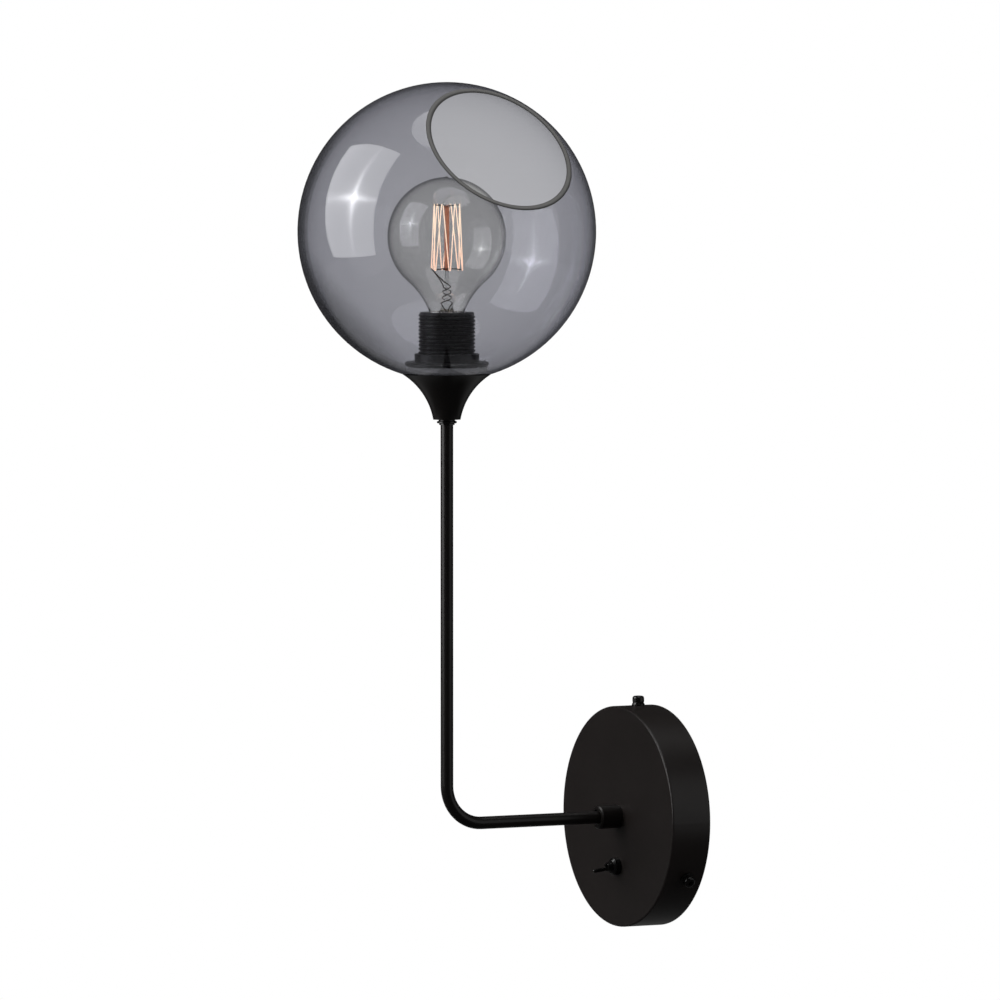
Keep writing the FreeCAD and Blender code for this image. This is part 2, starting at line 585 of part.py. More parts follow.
def lampholder_barrel():
    """Upper half: an open barrel with the lamp's bore and the shade ring's thread."""
    bore = LAMP_BORE / 2
    body = lathe((BLOCK_SEAT_RADIUS, BARREL_FOOT), (HOLDER_RADIUS, BARREL_FOOT), (HOLDER_RADIUS, HOLDER_TOP),
                 (bore + HOLDER_MOUTH_CHAMFER, HOLDER_TOP), (bore, HOLDER_TOP - HOLDER_MOUTH_CHAMFER),
                 (bore, CONTACT_BLOCK_TOP), (BLOCK_SEAT_RADIUS, CONTACT_BLOCK_TOP))
    return on_upright(body)


def contact_block():
    """Insulating disc in the lampholder that carries the contacts and the wire terminals."""
    body = rod(BLOCK_SEAT_RADIUS, CONTACT_BLOCK_FOOT, CONTACT_BLOCK_TOP)
    bore = BLOCK_SCREW_DIAMETER / 2 + THREAD_CLEARANCE
    for side in (-1, 1):
        body = body.cut(rod(bore, CONTACT_POCKET, CONTACT_BLOCK_TOP + 1, 0, side * CONTACT_SCREW_PLACE))
    return on_upright(body)


def contact_screws():
    """Two clamping screws in the contact block's pockets."""
    radius = BLOCK_SCREW_DIAMETER / 2
    head = CONTACT_BLOCK_TOP - EDGE_EASE
    screws = []
    for side in (-1, 1):
        y = side * CONTACT_SCREW_PLACE
        screw = rod(radius, CONTACT_POCKET, head, 0, y)
        slot = block(SCREW_SLOT_WIDTH, 3 * radius, 2 * SCREW_SLOT_DEPTH, 0, y, head - SCREW_SLOT_DEPTH)
        screws.append(on_upright(screw.cut(slot)))
    return Part.makeCompound(screws)


def bent_strip(points, width, thickness):
    """Sheet strip of even thickness along (x, z) points, bent about Y."""
    path = [Vector(x, 0, z) for x, z in points]
    sides = []
    for shift in (-thickness / 2, thickness / 2):
        side = []
        for index, point in enumerate(path):
            before = path[max(index - 1, 0)]
            after = path[min(index + 1, len(path) - 1)]
            first = (point - before) if index else (after - point)
            second = (after - point) if index < len(path) - 1 else (point - before)
            first = Vector(-first.z, 0, first.x).normalize()
            second = Vector(-second.z, 0, second.x).normalize()
            normal = (first + second).normalize()
            side.append(point + normal * (shift / normal.dot(first)))
        sides.append(side)
    outline = sides[0] + sides[1][::-1] + [sides[0][0]]
    strip = Part.Face(Part.makePolygon(outline)).extrude(Vector(0, width, 0))
    strip.translate(Vector(0, -width / 2, 0))
    return strip


def centre_contact():
    """Spring tongue under the lamp's centre contact."""
    top = CAP_FOOT - CONTACT_GAP - CONTACT_STRIP / 2
    low = CONTACT_BLOCK_TOP + CONTACT_STRIP / 2
    far = 0.6 * BLOCK_SEAT_RADIUS
    half = 0.3 * CAP_CONTACT_DIAMETER
    points = [(half, low), (-far, low), (-far - 0.5, low + 1.5), (-half, top), (half, top)]
    return on_upright(bent_strip(points, CONTACT_WIDTH, CONTACT_STRIP))


def side_contact():
    """Spring tongue that stands beside the foot of the lamp's screw shell."""
    low = CONTACT_BLOCK_TOP + CONTACT_STRIP / 2
    radius = LAMP_BORE / 2 - SLIP_CLEARANCE - CONTACT_STRIP
    points = [(0.45 * radius, low), (radius - 0.6, low), (radius - 0.3, SHELL_FOOT - 1.5)]
    return on_upright(bent_strip(points, 0.7 * CONTACT_WIDTH, CONTACT_STRIP))


def shade_ring():
    """Threaded ring that clamps the globe: a low hub over a broad flange."""
    bore = RING_BORE / 2
    hub = RING_HUB_DIAMETER / 2
    flange = RING_FLANGE_DIAMETER / 2
    shelf = RING_FOOT + RING_FLANGE_THICKNESS
    edge = 0.3 * RING_FLANGE_THICKNESS
    body = lathe((bore, RING_FOOT), (flange - edge, RING_FOOT), (flange, RING_FOOT + edge),
                 (flange, shelf - edge), (flange - edge, shelf), (hub, shelf), (hub, RING_TOP - EDGE_EASE),
                 (hub - EDGE_EASE, RING_TOP), (bore, RING_TOP))
    return on_upright(body)


def globe_inside_height(radius):
    """Height of the globe's inner surface, low down, at a distance from its axis."""
    return GLOBE_CENTRE - math.sqrt(GLOBE_INNER_RADIUS ** 2 - radius ** 2)


def shade_gasket():
    """Soft ring between the shade ring's flange and the glass, shaped to the sphere."""
    outer = RING_FLANGE_DIAMETER / 2 - 0.8
    inner = outer - GASKET_WIDTH
    lift = SEAT_CLEARANCE
    middle = (outer + inner) / 2
    body = lathe((inner, globe_inside_height(inner) + lift),
                 ((middle, globe_inside_height(middle) + lift), (outer, globe_inside_height(outer) + lift)),
                 (outer, RING_FOOT), (inner, RING_FOOT))
    return on_upright(body)


# ---- globe --------------------------------------------------------------------------
def mouth_axis():
    """Direction in which the globe's cut-out faces."""
    tilt = math.radians(MOUTH_TILT)
    yaw = math.radians(MOUTH_YAW)
    return Vector(math.sin(tilt) * math.cos(yaw), math.sin(tilt) * math.sin(yaw), math.cos(tilt))


def glass_globe():
    """Blown sphere with a hole over the lampholder and a ground mouth cut at a slant."""
    centre = (0, GLOBE_CENTRE)
    shell = lathe(arc_point(centre, GLOBE_RADIUS, -90),
                  (arc_point(centre, GLOBE_RADIUS, 0), arc_point(centre, GLOBE_RADIUS, 90)),
                  arc_point(centre, GLOBE_INNER_RADIUS, 90),
                  (arc_point(centre, GLOBE_INNER_RADIUS, 0), arc_point(centre, GLOBE_INNER_RADIUS, -90)))
    shell = shell.cut(rod(GLOBE_NECK_HOLE / 2, GLOBE_CENTRE - GLOBE_DIAMETER, GLOBE_CENTRE))
    axis = mouth_axis()
    foot = Vector(0, 0, GLOBE_CENTRE) + axis * MOUTH_DISTANCE
    beyond = Part.makeCylinder(GLOBE_DIAMETER, GLOBE_DIAMETER, foot, axis)
    return on_upright(shell.cut(beyond))


# ---- bulb ---------------------------------------------------------------------------
def bulb_profile(offset):
    """Arcs of the bulb, offset inwards: foot, neck middle, tangent point, side, top."""
    ball = BULB_RADIUS - offset
    centre = (0, BULB_CENTRE)
    neck_centre = arc_point(centre, BULB_RADIUS + BULB_NECK_RADIUS, -BULB_NECK_TURN)
    neck = BULB_NECK_RADIUS + offset
    drop = (neck_centre[1] - (CAP_RIM - 1)) / neck
    foot_angle = 180 + math.degrees(math.asin(drop))
    tangent_angle = 180 - BULB_NECK_TURN
    foot = arc_point(neck_centre, neck, foot_angle)
    middle = arc_point(neck_centre, neck, (foot_angle + tangent_angle) / 2)
    tangent = arc_point(centre, ball, -BULB_NECK_TURN)
    side = arc_point(centre, ball, (90 - BULB_NECK_TURN) / 2)
    return foot, middle, tangent, side, arc_point(centre, ball, 90)


def bulb_glass():
    """Clear glass envelope: a ball drawn into a neck that ends inside the cap."""
    foot, middle, tangent, side, top = bulb_profile(0)
    in_foot, in_middle, in_tangent, in_side, in_top = bulb_profile(BULB_GLASS)
    shell = lathe((NECK_FOOT_RADIUS, NECK_FOOT), foot, (middle, tangent), (side, top), in_top,
                  (in_side, in_tangent), (in_middle, in_foot), (NECK_FOOT_RADIUS - BULB_GLASS, NECK_FOOT))
    tip = lathe((0, top[1] - BULB_GLASS / 2), (BULB_TIP_DIAMETER / 2, top[1] - BULB_GLASS / 2),
                (0.3 * BULB_TIP_DIAMETER, top[1] + BULB_TIP_HEIGHT), (0, top[1] + BULB_TIP_HEIGHT))
    return on_upright(shell.fuse(tip))


def bulb_cap():
    """Metal screw shell of the bulb, drawn in at its foot."""
    outer = CAP_SHELL_DIAMETER / 2
    inner = outer - CAP_SHELL_WALL
    foot = SHELL_FOOT_RADIUS
    taper = SHELL_FOOT + CAP_TAPER_HEIGHT
    body = lathe((foot - CAP_SHELL_WALL, SHELL_FOOT), (foot, SHELL_FOOT), (outer, taper),
                 (outer, CAP_RIM), (inner, CAP_RIM), (inner, taper + CAP_SHELL_WALL / 2),
                 (foot - CAP_SHELL_WALL, SHELL_FOOT + CAP_SHELL_WALL))
    return on_upright(body)


def bulb_insulator():
    """Dark glass cone between the screw shell and the centre contact."""
    top_radius = SHELL_FOOT_RADIUS - CAP_SHELL_WALL
    low = CAP_FOOT + CAP_CONTACT_HEIGHT
    body = lathe((0, low), (CAP_CONTACT_DIAMETER / 2, low), (top_radius, SHELL_FOOT),
                 (top_radius, SHELL_FOOT + CAP_SHELL_WALL), (0, SHELL_FOOT + CAP_SHELL_WALL))
    return on_upright(body)


def bulb_contact():
    """Centre contact of the bulb, slightly domed."""
    radius = CAP_CONTACT_DIAMETER / 2
    high = CAP_FOOT + CAP_CONTACT_HEIGHT
    body = lathe((0, CAP_FOOT), (0.6 * radius, CAP_FOOT), (radius, CAP_FOOT + 0.5 * CAP_CONTACT_HEIGHT),
                 (radius, high), (0, high))
    return on_upright(body)


def bulb_stem():
    """Glass mount: a flare in the neck, a pressed tube and the rod that holds the cage."""
    flare = NECK_FOOT_RADIUS - BULB_GLASS
    tube = STEM_TUBE_DIAMETER / 2
    thin = STEM_ROD_DIAMETER / 2
    press = CAP_RIM + STEM_PRESS_ABOVE_CAP
    spread = flare - tube
    bow = QUARTER_ARC_MIDDLE * spread
    body = lathe((0, NECK_FOOT), (flare, NECK_FOOT),
                 ((tube + bow, NECK_FOOT + bow), (tube, NECK_FOOT + spread)), (tube, CAP_RIM),
                 (thin, press), (thin, FILAMENT_TOP), (0, FILAMENT_TOP))
    return on_upright(body)


def cage_point(radius, angle, height):
    """Point of the filament's cage."""
    return Vector(radius * math.cos(math.radians(angle)), radius * math.sin(math.radians(angle)), height)


def cage_points():
    """Corners of the filament: it rises and falls between peaks and feet, flat at each."""
    step = 360 / FILAMENT_PEAKS
    points = []
    for peak in range(FILAMENT_PEAKS):
        for shift, radius, height in ((-0.5, FILAMENT_BOTTOM_RADIUS, FILAMENT_FOOT),
                                      (0, FILAMENT_TOP_RADIUS, FILAMENT_TOP)):
            half = math.degrees(FILAMENT_HOOK_WIDTH / 2 / radius)
            angle = (peak + 0.25 + shift) * step
            points.append(cage_point(radius, angle - half, height))
            points.append(cage_point(radius, angle + half, height))
    gap = 2 * math.degrees(FILAMENT_HOOK_WIDTH / FILAMENT_BOTTOM_RADIUS)
    last_foot = (FILAMENT_PEAKS - 0.25) * step - gap
    points.append(cage_point(FILAMENT_BOTTOM_RADIUS, last_foot, FILAMENT_FOOT))
    return points[1:]


def square_bar(start, end, thickness):
    """Straight bar of square section between two points."""
    along = end - start
    bar = Part.makeBox(thickness, thickness, along.Length, Vector(-thickness / 2, -thickness / 2, 0))
    bar.Placement = FreeCAD.Placement(start, FreeCAD.Rotation(Vector(0, 0, 1), along))
    return bar


def bulb_filament():
    """Squirrel-cage filament: one wire zigzagging between the hooks."""
    points = cage_points()
    wire = square_bar(points[0], points[1], FILAMENT_WIRE)
    rest = [square_bar(start, end, FILAMENT_WIRE) for start, end in zip(points[1:], points[2:])]
    return on_upright(wire.multiFuse(rest))


def bulb_supports():
    """Hook wires from the rod to the cage, and the two leads down to the press."""
    step = 360 / FILAMENT_PEAKS
    inner = STEM_ROD_DIAMETER / 2
    lift = (FILAMENT_WIRE + SUPPORT_WIRE) / 2
    bars = []
    for peak in range(FILAMENT_PEAKS):
        angle = (peak + 0.25) * step
        height = FILAMENT_TOP - lift
        tip = cage_point(FILAMENT_TOP_RADIUS, angle, height)
        bars.append(square_bar(cage_point(inner, angle, height), tip, SUPPORT_WIRE))
    for foot in range(1, FILAMENT_PEAKS):
        angle = (foot - 0.25) * step
        height = FILAMENT_FOOT + lift
        tip = cage_point(FILAMENT_BOTTOM_RADIUS, angle, height)
        bars.append(square_bar(cage_point(inner, angle, height), tip, SUPPORT_WIRE))
    points = cage_points()
    press = CAP_RIM + STEM_PRESS_ABOVE_CAP
    for end in (points[0], points[-1]):
        angle = math.degrees(math.atan2(end.y, end.x))
        top = end - Vector(0, 0, lift + SEAT_CLEARANCE)
        bars.append(square_bar(cage_point(inner + SUPPORT_WIRE, angle, press), top, SUPPORT_WIRE))
    return Part.makeCompound([on_upright(bar) for bar in bars])


# ---- switch -------------------------------------------------------------------------
def switch_bushing():
    """Threaded bushing through the canopy, bored for the lever and its ball."""
    outer = BUSHING_DIAMETER / 2
    ball_bore = LEVER_BALL_DIAMETER / 2 + SLIP_CLEARANCE
    waist = LEVER_PIVOT_DEPTH + 0.52 * LEVER_BALL_DIAMETER
    swing = math.tan(math.radians(LEVER_TILT))
    clear = LEVER_DIAMETER / 2 + SLIP_CLEARANCE
    waist_bore = clear + (waist - LEVER_PIVOT_DEPTH) * swing
    mouth_bore = clear + LEVER_PIVOT_BEHIND_MOUTH * swing
    body = lathe((ball_bore, HOUSING_FRONT), (outer, HOUSING_FRONT), (outer, BUSHING_MOUTH - BUSHING_CHAMFER),
                 (outer - BUSHING_CHAMFER, BUSHING_MOUTH), (mouth_bore, BUSHING_MOUTH), (waist_bore, waist),
                 (ball_bore, waist))
    return out_of_wall(body, SWITCH_BELOW_ARM)


def switch_dress_nut():
    """Round nut in front of the canopy with a broad chamfer."""
    outer = DRESS_NUT_DIAMETER / 2
    bore = BUSHING_DIAMETER / 2 + THREAD_CLEARANCE / 2
    front = CANOPY_DEPTH + DRESS_NUT_THICKNESS
    body = lathe((bore, CANOPY_DEPTH), (outer, CANOPY_DEPTH), (outer, front - DRESS_NUT_CHAMFER),
                 (outer - DRESS_NUT_CHAMFER, front), (bore, front))
    return out_of_wall(body, SWITCH_BELOW_ARM)


def switch_back_nut():
    """Hexagonal nut on the bushing behind the canopy's face."""
    bore = BUSHING_DIAMETER / 2 + THREAD_CLEARANCE / 2
    return out_of_wall(hex_nut(BACK_NUT_FLATS, bore, HOUSING_FRONT, CANOPY_FACE_INSIDE), SWITCH_BELOW_ARM)


def switch_lever():
    """Toggle lever: rounded stick, ball and inner finger, tilted down about the ball."""
    stick = LEVER_DIAMETER / 2
    ball = LEVER_BALL_DIAMETER / 2
    tip = LEVER_PIVOT_BEHIND_MOUTH + LEVER_OUTSIDE
    finger = 0.72 * stick
    root = math.sqrt(ball ** 2 - stick ** 2)
    finger_root = -math.sqrt(ball ** 2 - finger ** 2)
    finger_end = -LEVER_INSIDE
    body = lathe((0, finger_end - finger), (arc_point((0, finger_end), finger, -45), (finger, finger_end)),
                 (finger, finger_root), ((ball, 0), (stick, root)), (stick, tip - stick),
                 (arc_point((0, tip - stick), stick, 45), (0, tip)))
    body.rotate(Vector(0, 0, 0), Vector(1, 0, 0), LEVER_TILT)
    body.translate(Vector(0, 0, LEVER_PIVOT_DEPTH))
    return out_of_wall(body, SWITCH_BELOW_ARM)


def switch_housing():
    """Moulded box of the switch, open to the bushing, with sockets for the rocker's pin."""
    cavity_back = HOUSING_BACK + 1.8 * HOUSING_WALL
    shell = block(HOUSING_WIDTH, HOUSING_HEIGHT, HOUSING_DEPTH, 0, 0, HOUSING_BACK)
    cavity = block(HOUSING_WIDTH - 2 * HOUSING_WALL, HOUSING_HEIGHT - 2 * HOUSING_WALL,
                   HOUSING_FRONT - HOUSING_WALL - cavity_back, 0, 0, cavity_back)
    shell = shell.cut(cavity)
    shell = shell.cut(rod(LEVER_BALL_DIAMETER / 2 + SLIP_CLEARANCE, cavity_back, HOUSING_FRONT + 1))
    pin_reach = HOUSING_WIDTH / 2 - HOUSING_WALL / 2
    pin_hole = Part.makeCylinder(ROCKER_PIN / 2 + SEAT_CLEARANCE, 2 * pin_reach,
                                 Vector(-pin_reach, 0, ROCKER_DEPTH), Vector(1, 0, 0))
    shell = shell.cut(pin_hole)
    for place in lug_places():
        shell = shell.cut(block(LUG_WIDTH, LUG_SHEET, HOUSING_DEPTH, 0, place, HOUSING_BACK - HOUSING_WALL))
    return out_of_wall(shell, SWITCH_BELOW_ARM)


def lug_places():
    """Heights of the three solder lugs about the switch's axis."""
    reach = ROCKER_LENGTH / 2 - LUG_SHEET
    return (-reach, 0, reach)


def switch_rocker():
    """Contact blade that tips on a cross pin when the lever's finger slides over it."""
    blade = block(ROCKER_WIDTH, ROCKER_LENGTH, ROCKER_SHEET, 0, 0, -ROCKER_SHEET / 2)
    half = HOUSING_WIDTH / 2 - HOUSING_WALL + 0.3 * HOUSING_WALL
    pin = Part.makeCylinder(ROCKER_PIN / 2, 2 * half, Vector(-half, 0, 0), Vector(1, 0, 0))
    blade = blade.fuse(pin)
    blade.rotate(Vector(0, 0, 0), Vector(1, 0, 0), -ROCKER_TILT)
    blade.translate(Vector(0, 0, ROCKER_DEPTH))
    return out_of_wall(blade, SWITCH_BELOW_ARM)


def switch_lugs():
    """Three solder lugs; the middle one backs the pin, the outer two meet the blade's ends."""
    sink = ROCKER_LENGTH / 2 * math.sin(math.radians(ROCKER_TILT))
    lugs = []
    for place in lug_places():
        rest = ROCKER_PIN / 2 if place == 0 else sink + ROCKER_SHEET / 2
        front = ROCKER_DEPTH - rest - CONTACT_GAP
        low = HOUSING_BACK - LUG_LENGTH
        lug = block(LUG_WIDTH, LUG_SHEET, front - low, 0, place, low)
        eye_start = Vector(0, place - 2 * LUG_SHEET, HOUSING_BACK - LUG_LENGTH / 2)
        eye = Part.makeCylinder(0.3 * LUG_WIDTH, 4 * LUG_SHEET, eye_start, Vector(0, 1, 0))
        lugs.append(out_of_wall(lug.cut(eye), SWITCH_BELOW_ARM))
    return Part.makeCompound(lugs)


# ---- wiring -------------------------------------------------------------------------
def terminal_block():
    """Three-pole terminal block on the bracket, above the arm."""
    body = block(BLOCK_WIDTH, BLOCK_HEIGHT, BLOCK_DECK_DEPTH, 0, BLOCK_ABOVE_ARM, BRACKET_SHEET)
    bore = BLOCK_SCREW_DIAMETER / 2 + THREAD_CLEARANCE
    for pole in (-1, 0, 1):
        x = pole * BLOCK_POLE_PITCH
        tower = block(BLOCK_TOWER_WIDTH, BLOCK_HEIGHT, BLOCK_DEPTH, x, BLOCK_ABOVE_ARM, BRACKET_SHEET)
        body = body.fuse(tower)
    for pole in (-1, 0, 1):
        x = pole * BLOCK_POLE_PITCH
        for row in (-1, 1):
            y = BLOCK_ABOVE_ARM + row * BLOCK_HEIGHT / 4
            body = body.cut(rod(bore, BLOCK_SCREW_FOOT, BLOCK_FRONT + 1, x, y))
        entry = Part.makeCylinder(WIRE_DIAMETER / 2 + HOLE_CLEARANCE, BLOCK_HEIGHT / 4,
                                  Vector(pole * BLOCK_POLE_PITCH, BLOCK_ABOVE_ARM + BLOCK_HEIGHT / 2,
                                         BRACKET_SHEET + BLOCK_ENTRY_HEIGHT), Vector(0, -1, 0))
        body = body.cut(entry)
    return out_of_wall(body.removeSplitter())


def terminal_screws():
    """Six clamping screws in the terminal block."""
    head = BLOCK_FRONT - SCREW_RECESS
    screws = []
    for pole in (-1, 0, 1):
        for row in (-1, 1):
            x = pole * BLOCK_POLE_PITCH
            y = BLOCK_ABOVE_ARM + row * BLOCK_HEIGHT / 4
            screw = rod(BLOCK_SCREW_DIAMETER / 2, BLOCK_SCREW_FOOT, head, x, y)
            slot = block(SCREW_SLOT_WIDTH, 2 * BLOCK_SCREW_DIAMETER, 2 * SCREW_SLOT_DEPTH, x, y,
                         head - SCREW_SLOT_DEPTH)
            screws.append(out_of_wall(screw.cut(slot)))
    return Part.makeCompound(screws)


def earth_tag_top():
    """Height at which the earth tag's tail ends and its wire begins."""
    return EARTH_TAG_LENGTH - EARTH_SCREW_DROP


def earth_tag():
    """Ring tag that clamps the earth wire under the earth screw."""
    outer = EARTH_HEAD_DIAMETER / 2 + HOLE_CLEARANCE
    tag = rod(outer, BRACKET_SHEET, BRACKET_SHEET + EARTH_TAG_SHEET, -EARTH_SCREW_SIDE, -EARTH_SCREW_DROP)
    middle = earth_tag_top() - EARTH_TAG_LENGTH / 2
    tail = block(0.6 * outer, EARTH_TAG_LENGTH, EARTH_TAG_SHEET, -EARTH_SCREW_SIDE, middle, BRACKET_SHEET)
    hole = rod(EARTH_SCREW_DIAMETER / 2 + THREAD_CLEARANCE, 0, 2 * BRACKET_SHEET + EARTH_TAG_SHEET,
               -EARTH_SCREW_SIDE, -EARTH_SCREW_DROP)
    return out_of_wall(tag.fuse(tail).cut(hole).removeSplitter())


def earth_screw():
    """Pan-head screw tapped into the bracket over the earth tag."""
    seat = BRACKET_SHEET + EARTH_TAG_SHEET
    head = EARTH_HEAD_DIAMETER / 2
    body = lathe((0, 0), (EARTH_SCREW_DIAMETER / 2, 0), (EARTH_SCREW_DIAMETER / 2, seat), (head, seat),
                 (head, seat + EARTH_HEAD_SIDE),
                 ((0.75 * head, seat + EARTH_HEAD_SHOULDER), (0, seat + EARTH_HEAD_HEIGHT)))
    for turn in (0, 90):
        slot = block(EARTH_SLOT_WIDTH, 0.8 * EARTH_HEAD_DIAMETER, EARTH_HEAD_HEIGHT, 0, 0,
                     seat + EARTH_HEAD_SIDE)
        slot.rotate(Vector(0, 0, 0), Vector(0, 0, 1), turn)
        body = body.cut(slot)
    body.translate(Vector(-EARTH_SCREW_SIDE, -EARTH_SCREW_DROP, 0))
    return out_of_wall(body)


def wire_bar(points, bends):
    """Insulated wire along straight runs, with the radius of each bend."""
    return sweep_round(points, bends, WIRE_DIAMETER / 2)


def block_exit(pole):
    """Where a wire leaves the underside of the terminal block."""
    depth = BRACKET_SHEET + BLOCK_ENTRY_HEIGHT
    return Vector(pole * BLOCK_POLE_PITCH, -depth, BLOCK_ABOVE_ARM - BLOCK_HEIGHT / 2)


def through_arm(side):
    """Corners of a wire from just behind the arm's tail to the lampholder's contact block."""
    x = side * WIRE_SPREAD
    turn = TAIL_END - THREAD_CLEARANCE - WIRE_BEND_RADIUS
    return [Vector(x, -turn, 0), Vector(x, -ARM_REACH, 0), Vector(x, -ARM_REACH, CONTACT_BLOCK_FOOT)]


def wire_neutral():
    """From the terminal block's right pole through the arm to the lampholder."""
    start = block_exit(1)
    arm = through_arm(1)
    below = start - Vector(0, 0, 1.6 * WIRE_BEND_RADIUS)
    above_turn = arm[0] + Vector(0, 0, 1.8 * WIRE_BEND_RADIUS)
    bends = [WIRE_BEND_RADIUS, WIRE_BEND_RADIUS, WIRE_BEND_RADIUS, ARM_BEND_RADIUS]
    return wire_bar([start, below, above_turn] + arm, bends)


def wire_switched():
    """From the switch's upper lug through the arm to the lampholder."""
    arm = through_arm(-1)
    lug_face = lug_places()[2] + LUG_SHEET / 2 - SWITCH_BELOW_ARM
    start = Vector(arm[0].x, arm[0].y, lug_face)
    return wire_bar([start] + arm, [WIRE_BEND_RADIUS, ARM_BEND_RADIUS])


def wire_live():
    """From the terminal block's middle pole, round the left, to the switch's middle lug."""
    start = block_exit(0)
    lug_depth = HOUSING_BACK - 0.7 * LUG_LENGTH
    side = -HOUSING_WIDTH / 2 - 0.8 * WIRE_BEND_RADIUS
    route = [
        start,
        start - Vector(0, 0, 2 * WIRE_BEND_RADIUS),
        Vector(side, start.y, 0),
        Vector(side, -lug_depth, -SWITCH_BELOW_ARM),
        Vector(-LUG_WIDTH / 2, -lug_depth, -SWITCH_BELOW_ARM),
    ]
    return wire_bar(route, [WIRE_BEND_RADIUS] * 3)


def wire_earth():
    """From the terminal block's left pole to the tag under the earth screw."""
    start = block_exit(-1)
    end_depth = BRACKET_SHEET + WIRE_DIAMETER / 2 + THREAD_CLEARANCE / 2
    end = Vector(-EARTH_SCREW_SIDE, -end_depth, earth_tag_top())
    below = start - Vector(0, 0, 1.4 * WIRE_BEND_RADIUS)
    above = end + Vector(0, 0, 2.4 * WIRE_BEND_RADIUS)
    route = [start, below, above, end]
    return wire_bar(route, [WIRE_BEND_RADIUS] * 2)


# ---- write every piece --------------------------------------------------------------
def pieces():
    """Every piece of the lamp by node name."""
    named = {
        "wall_bracket": wall_bracket(),
        "cable_grommet": cable_grommet(),
        "canopy": canopy(),
        "arm_socket": arm_socket(),
        "arm_washer": arm_washer(),
        "arm_nut": arm_nut(),
        "arm_tube": arm_tube(),
        "arm_nipple": arm_nipple(),
        "cup_locknut": cup_locknut(),
        "trumpet_cup": trumpet_cup(),
        "cup_nut": cup_nut(),
        "lampholder_cap": lampholder_cap(),
        "lampholder_barrel": lampholder_barrel(),
        "contact_block": contact_block(),
        "contact_screws": contact_screws(),
        "centre_contact": centre_contact(),
        "side_contact": side_contact(),
        "shade_ring": shade_ring(),
        "shade_gasket": shade_gasket(),
        "glass_globe": glass_globe(),
        "bulb_glass": bulb_glass(),
        "bulb_cap": bulb_cap(),
        "bulb_insulator": bulb_insulator(),
        "bulb_contact": bulb_contact(),
        "bulb_stem": bulb_stem(),
        "bulb_filament": bulb_filament(),
        "bulb_supports": bulb_supports(),
        "switch_bushing": switch_bushing(),
        "switch_dress_nut": switch_dress_nut(),
        "switch_back_nut": switch_back_nut(),
        "switch_lever": switch_lever(),
        "switch_housing": switch_housing(),
        "switch_rocker": switch_rocker(),
        "switch_lugs": switch_lugs(),
        "terminal_block": terminal_block(),
        "terminal_screws": terminal_screws(),
        "earth_tag": earth_tag(),
        "earth_screw": earth_screw(),
        "wire_neutral": wire_neutral(),
        "wire_switched": wire_switched(),
        "wire_live": wire_live(),
        "wire_earth": wire_earth(),
    }
    for name, angle in zip(SIDE_SCREW_NAMES, SIDE_SCREW_ANGLES):
        named[name] = side_screw(angle)
    return named


os.makedirs("parts", exist_ok=True)
for node, shape in pieces().items():
    shape.exportStep("parts/" + node + ".step")
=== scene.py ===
import math
import random

import bmesh
import bpy
from mathutils import Matrix, Vector

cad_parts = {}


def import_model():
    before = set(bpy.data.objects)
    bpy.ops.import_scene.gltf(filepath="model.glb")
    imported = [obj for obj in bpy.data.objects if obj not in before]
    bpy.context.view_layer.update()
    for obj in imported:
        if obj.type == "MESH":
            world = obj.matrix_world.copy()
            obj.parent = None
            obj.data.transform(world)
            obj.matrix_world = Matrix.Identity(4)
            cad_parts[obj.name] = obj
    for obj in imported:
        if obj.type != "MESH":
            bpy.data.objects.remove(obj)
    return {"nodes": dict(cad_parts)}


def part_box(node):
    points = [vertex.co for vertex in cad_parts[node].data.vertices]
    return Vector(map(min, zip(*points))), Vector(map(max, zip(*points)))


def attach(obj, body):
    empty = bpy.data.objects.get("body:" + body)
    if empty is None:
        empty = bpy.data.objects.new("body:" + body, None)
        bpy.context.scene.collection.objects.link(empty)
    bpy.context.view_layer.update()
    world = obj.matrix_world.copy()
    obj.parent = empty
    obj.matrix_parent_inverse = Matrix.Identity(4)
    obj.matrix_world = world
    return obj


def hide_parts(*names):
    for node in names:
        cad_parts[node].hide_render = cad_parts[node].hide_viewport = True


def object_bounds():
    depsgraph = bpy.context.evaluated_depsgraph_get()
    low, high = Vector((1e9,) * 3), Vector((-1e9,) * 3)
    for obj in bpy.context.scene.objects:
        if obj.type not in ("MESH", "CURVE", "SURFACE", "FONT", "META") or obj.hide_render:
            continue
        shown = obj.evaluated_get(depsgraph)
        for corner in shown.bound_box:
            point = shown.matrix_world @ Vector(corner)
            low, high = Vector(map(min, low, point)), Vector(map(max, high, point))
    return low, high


# Looks of a wall lamp with a smoked glass globe. Metres, in the lamp's own frame:
# +Z up, -Y out of the wall, +X right.
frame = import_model()
NODES = frame["nodes"]
CAD_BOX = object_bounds()
MM = 0.001

# ---- view of the photograph ---------------------------------------------------------
PHOTO_PIXELS = 1000
FOCAL_PIXELS = 8894.5
SENSOR = 36.0
VIEW_AZIMUTH = math.radians(60.88)
VIEW_ELEVATION = math.radians(2.80)
VIEW_DISTANCE = 6.0
VIEW_POINT = Vector((0.0, -0.082, 0.250))
VIEW_SHIFT_RIGHT = -0.03341
VIEW_SHIFT_UP = -0.03366

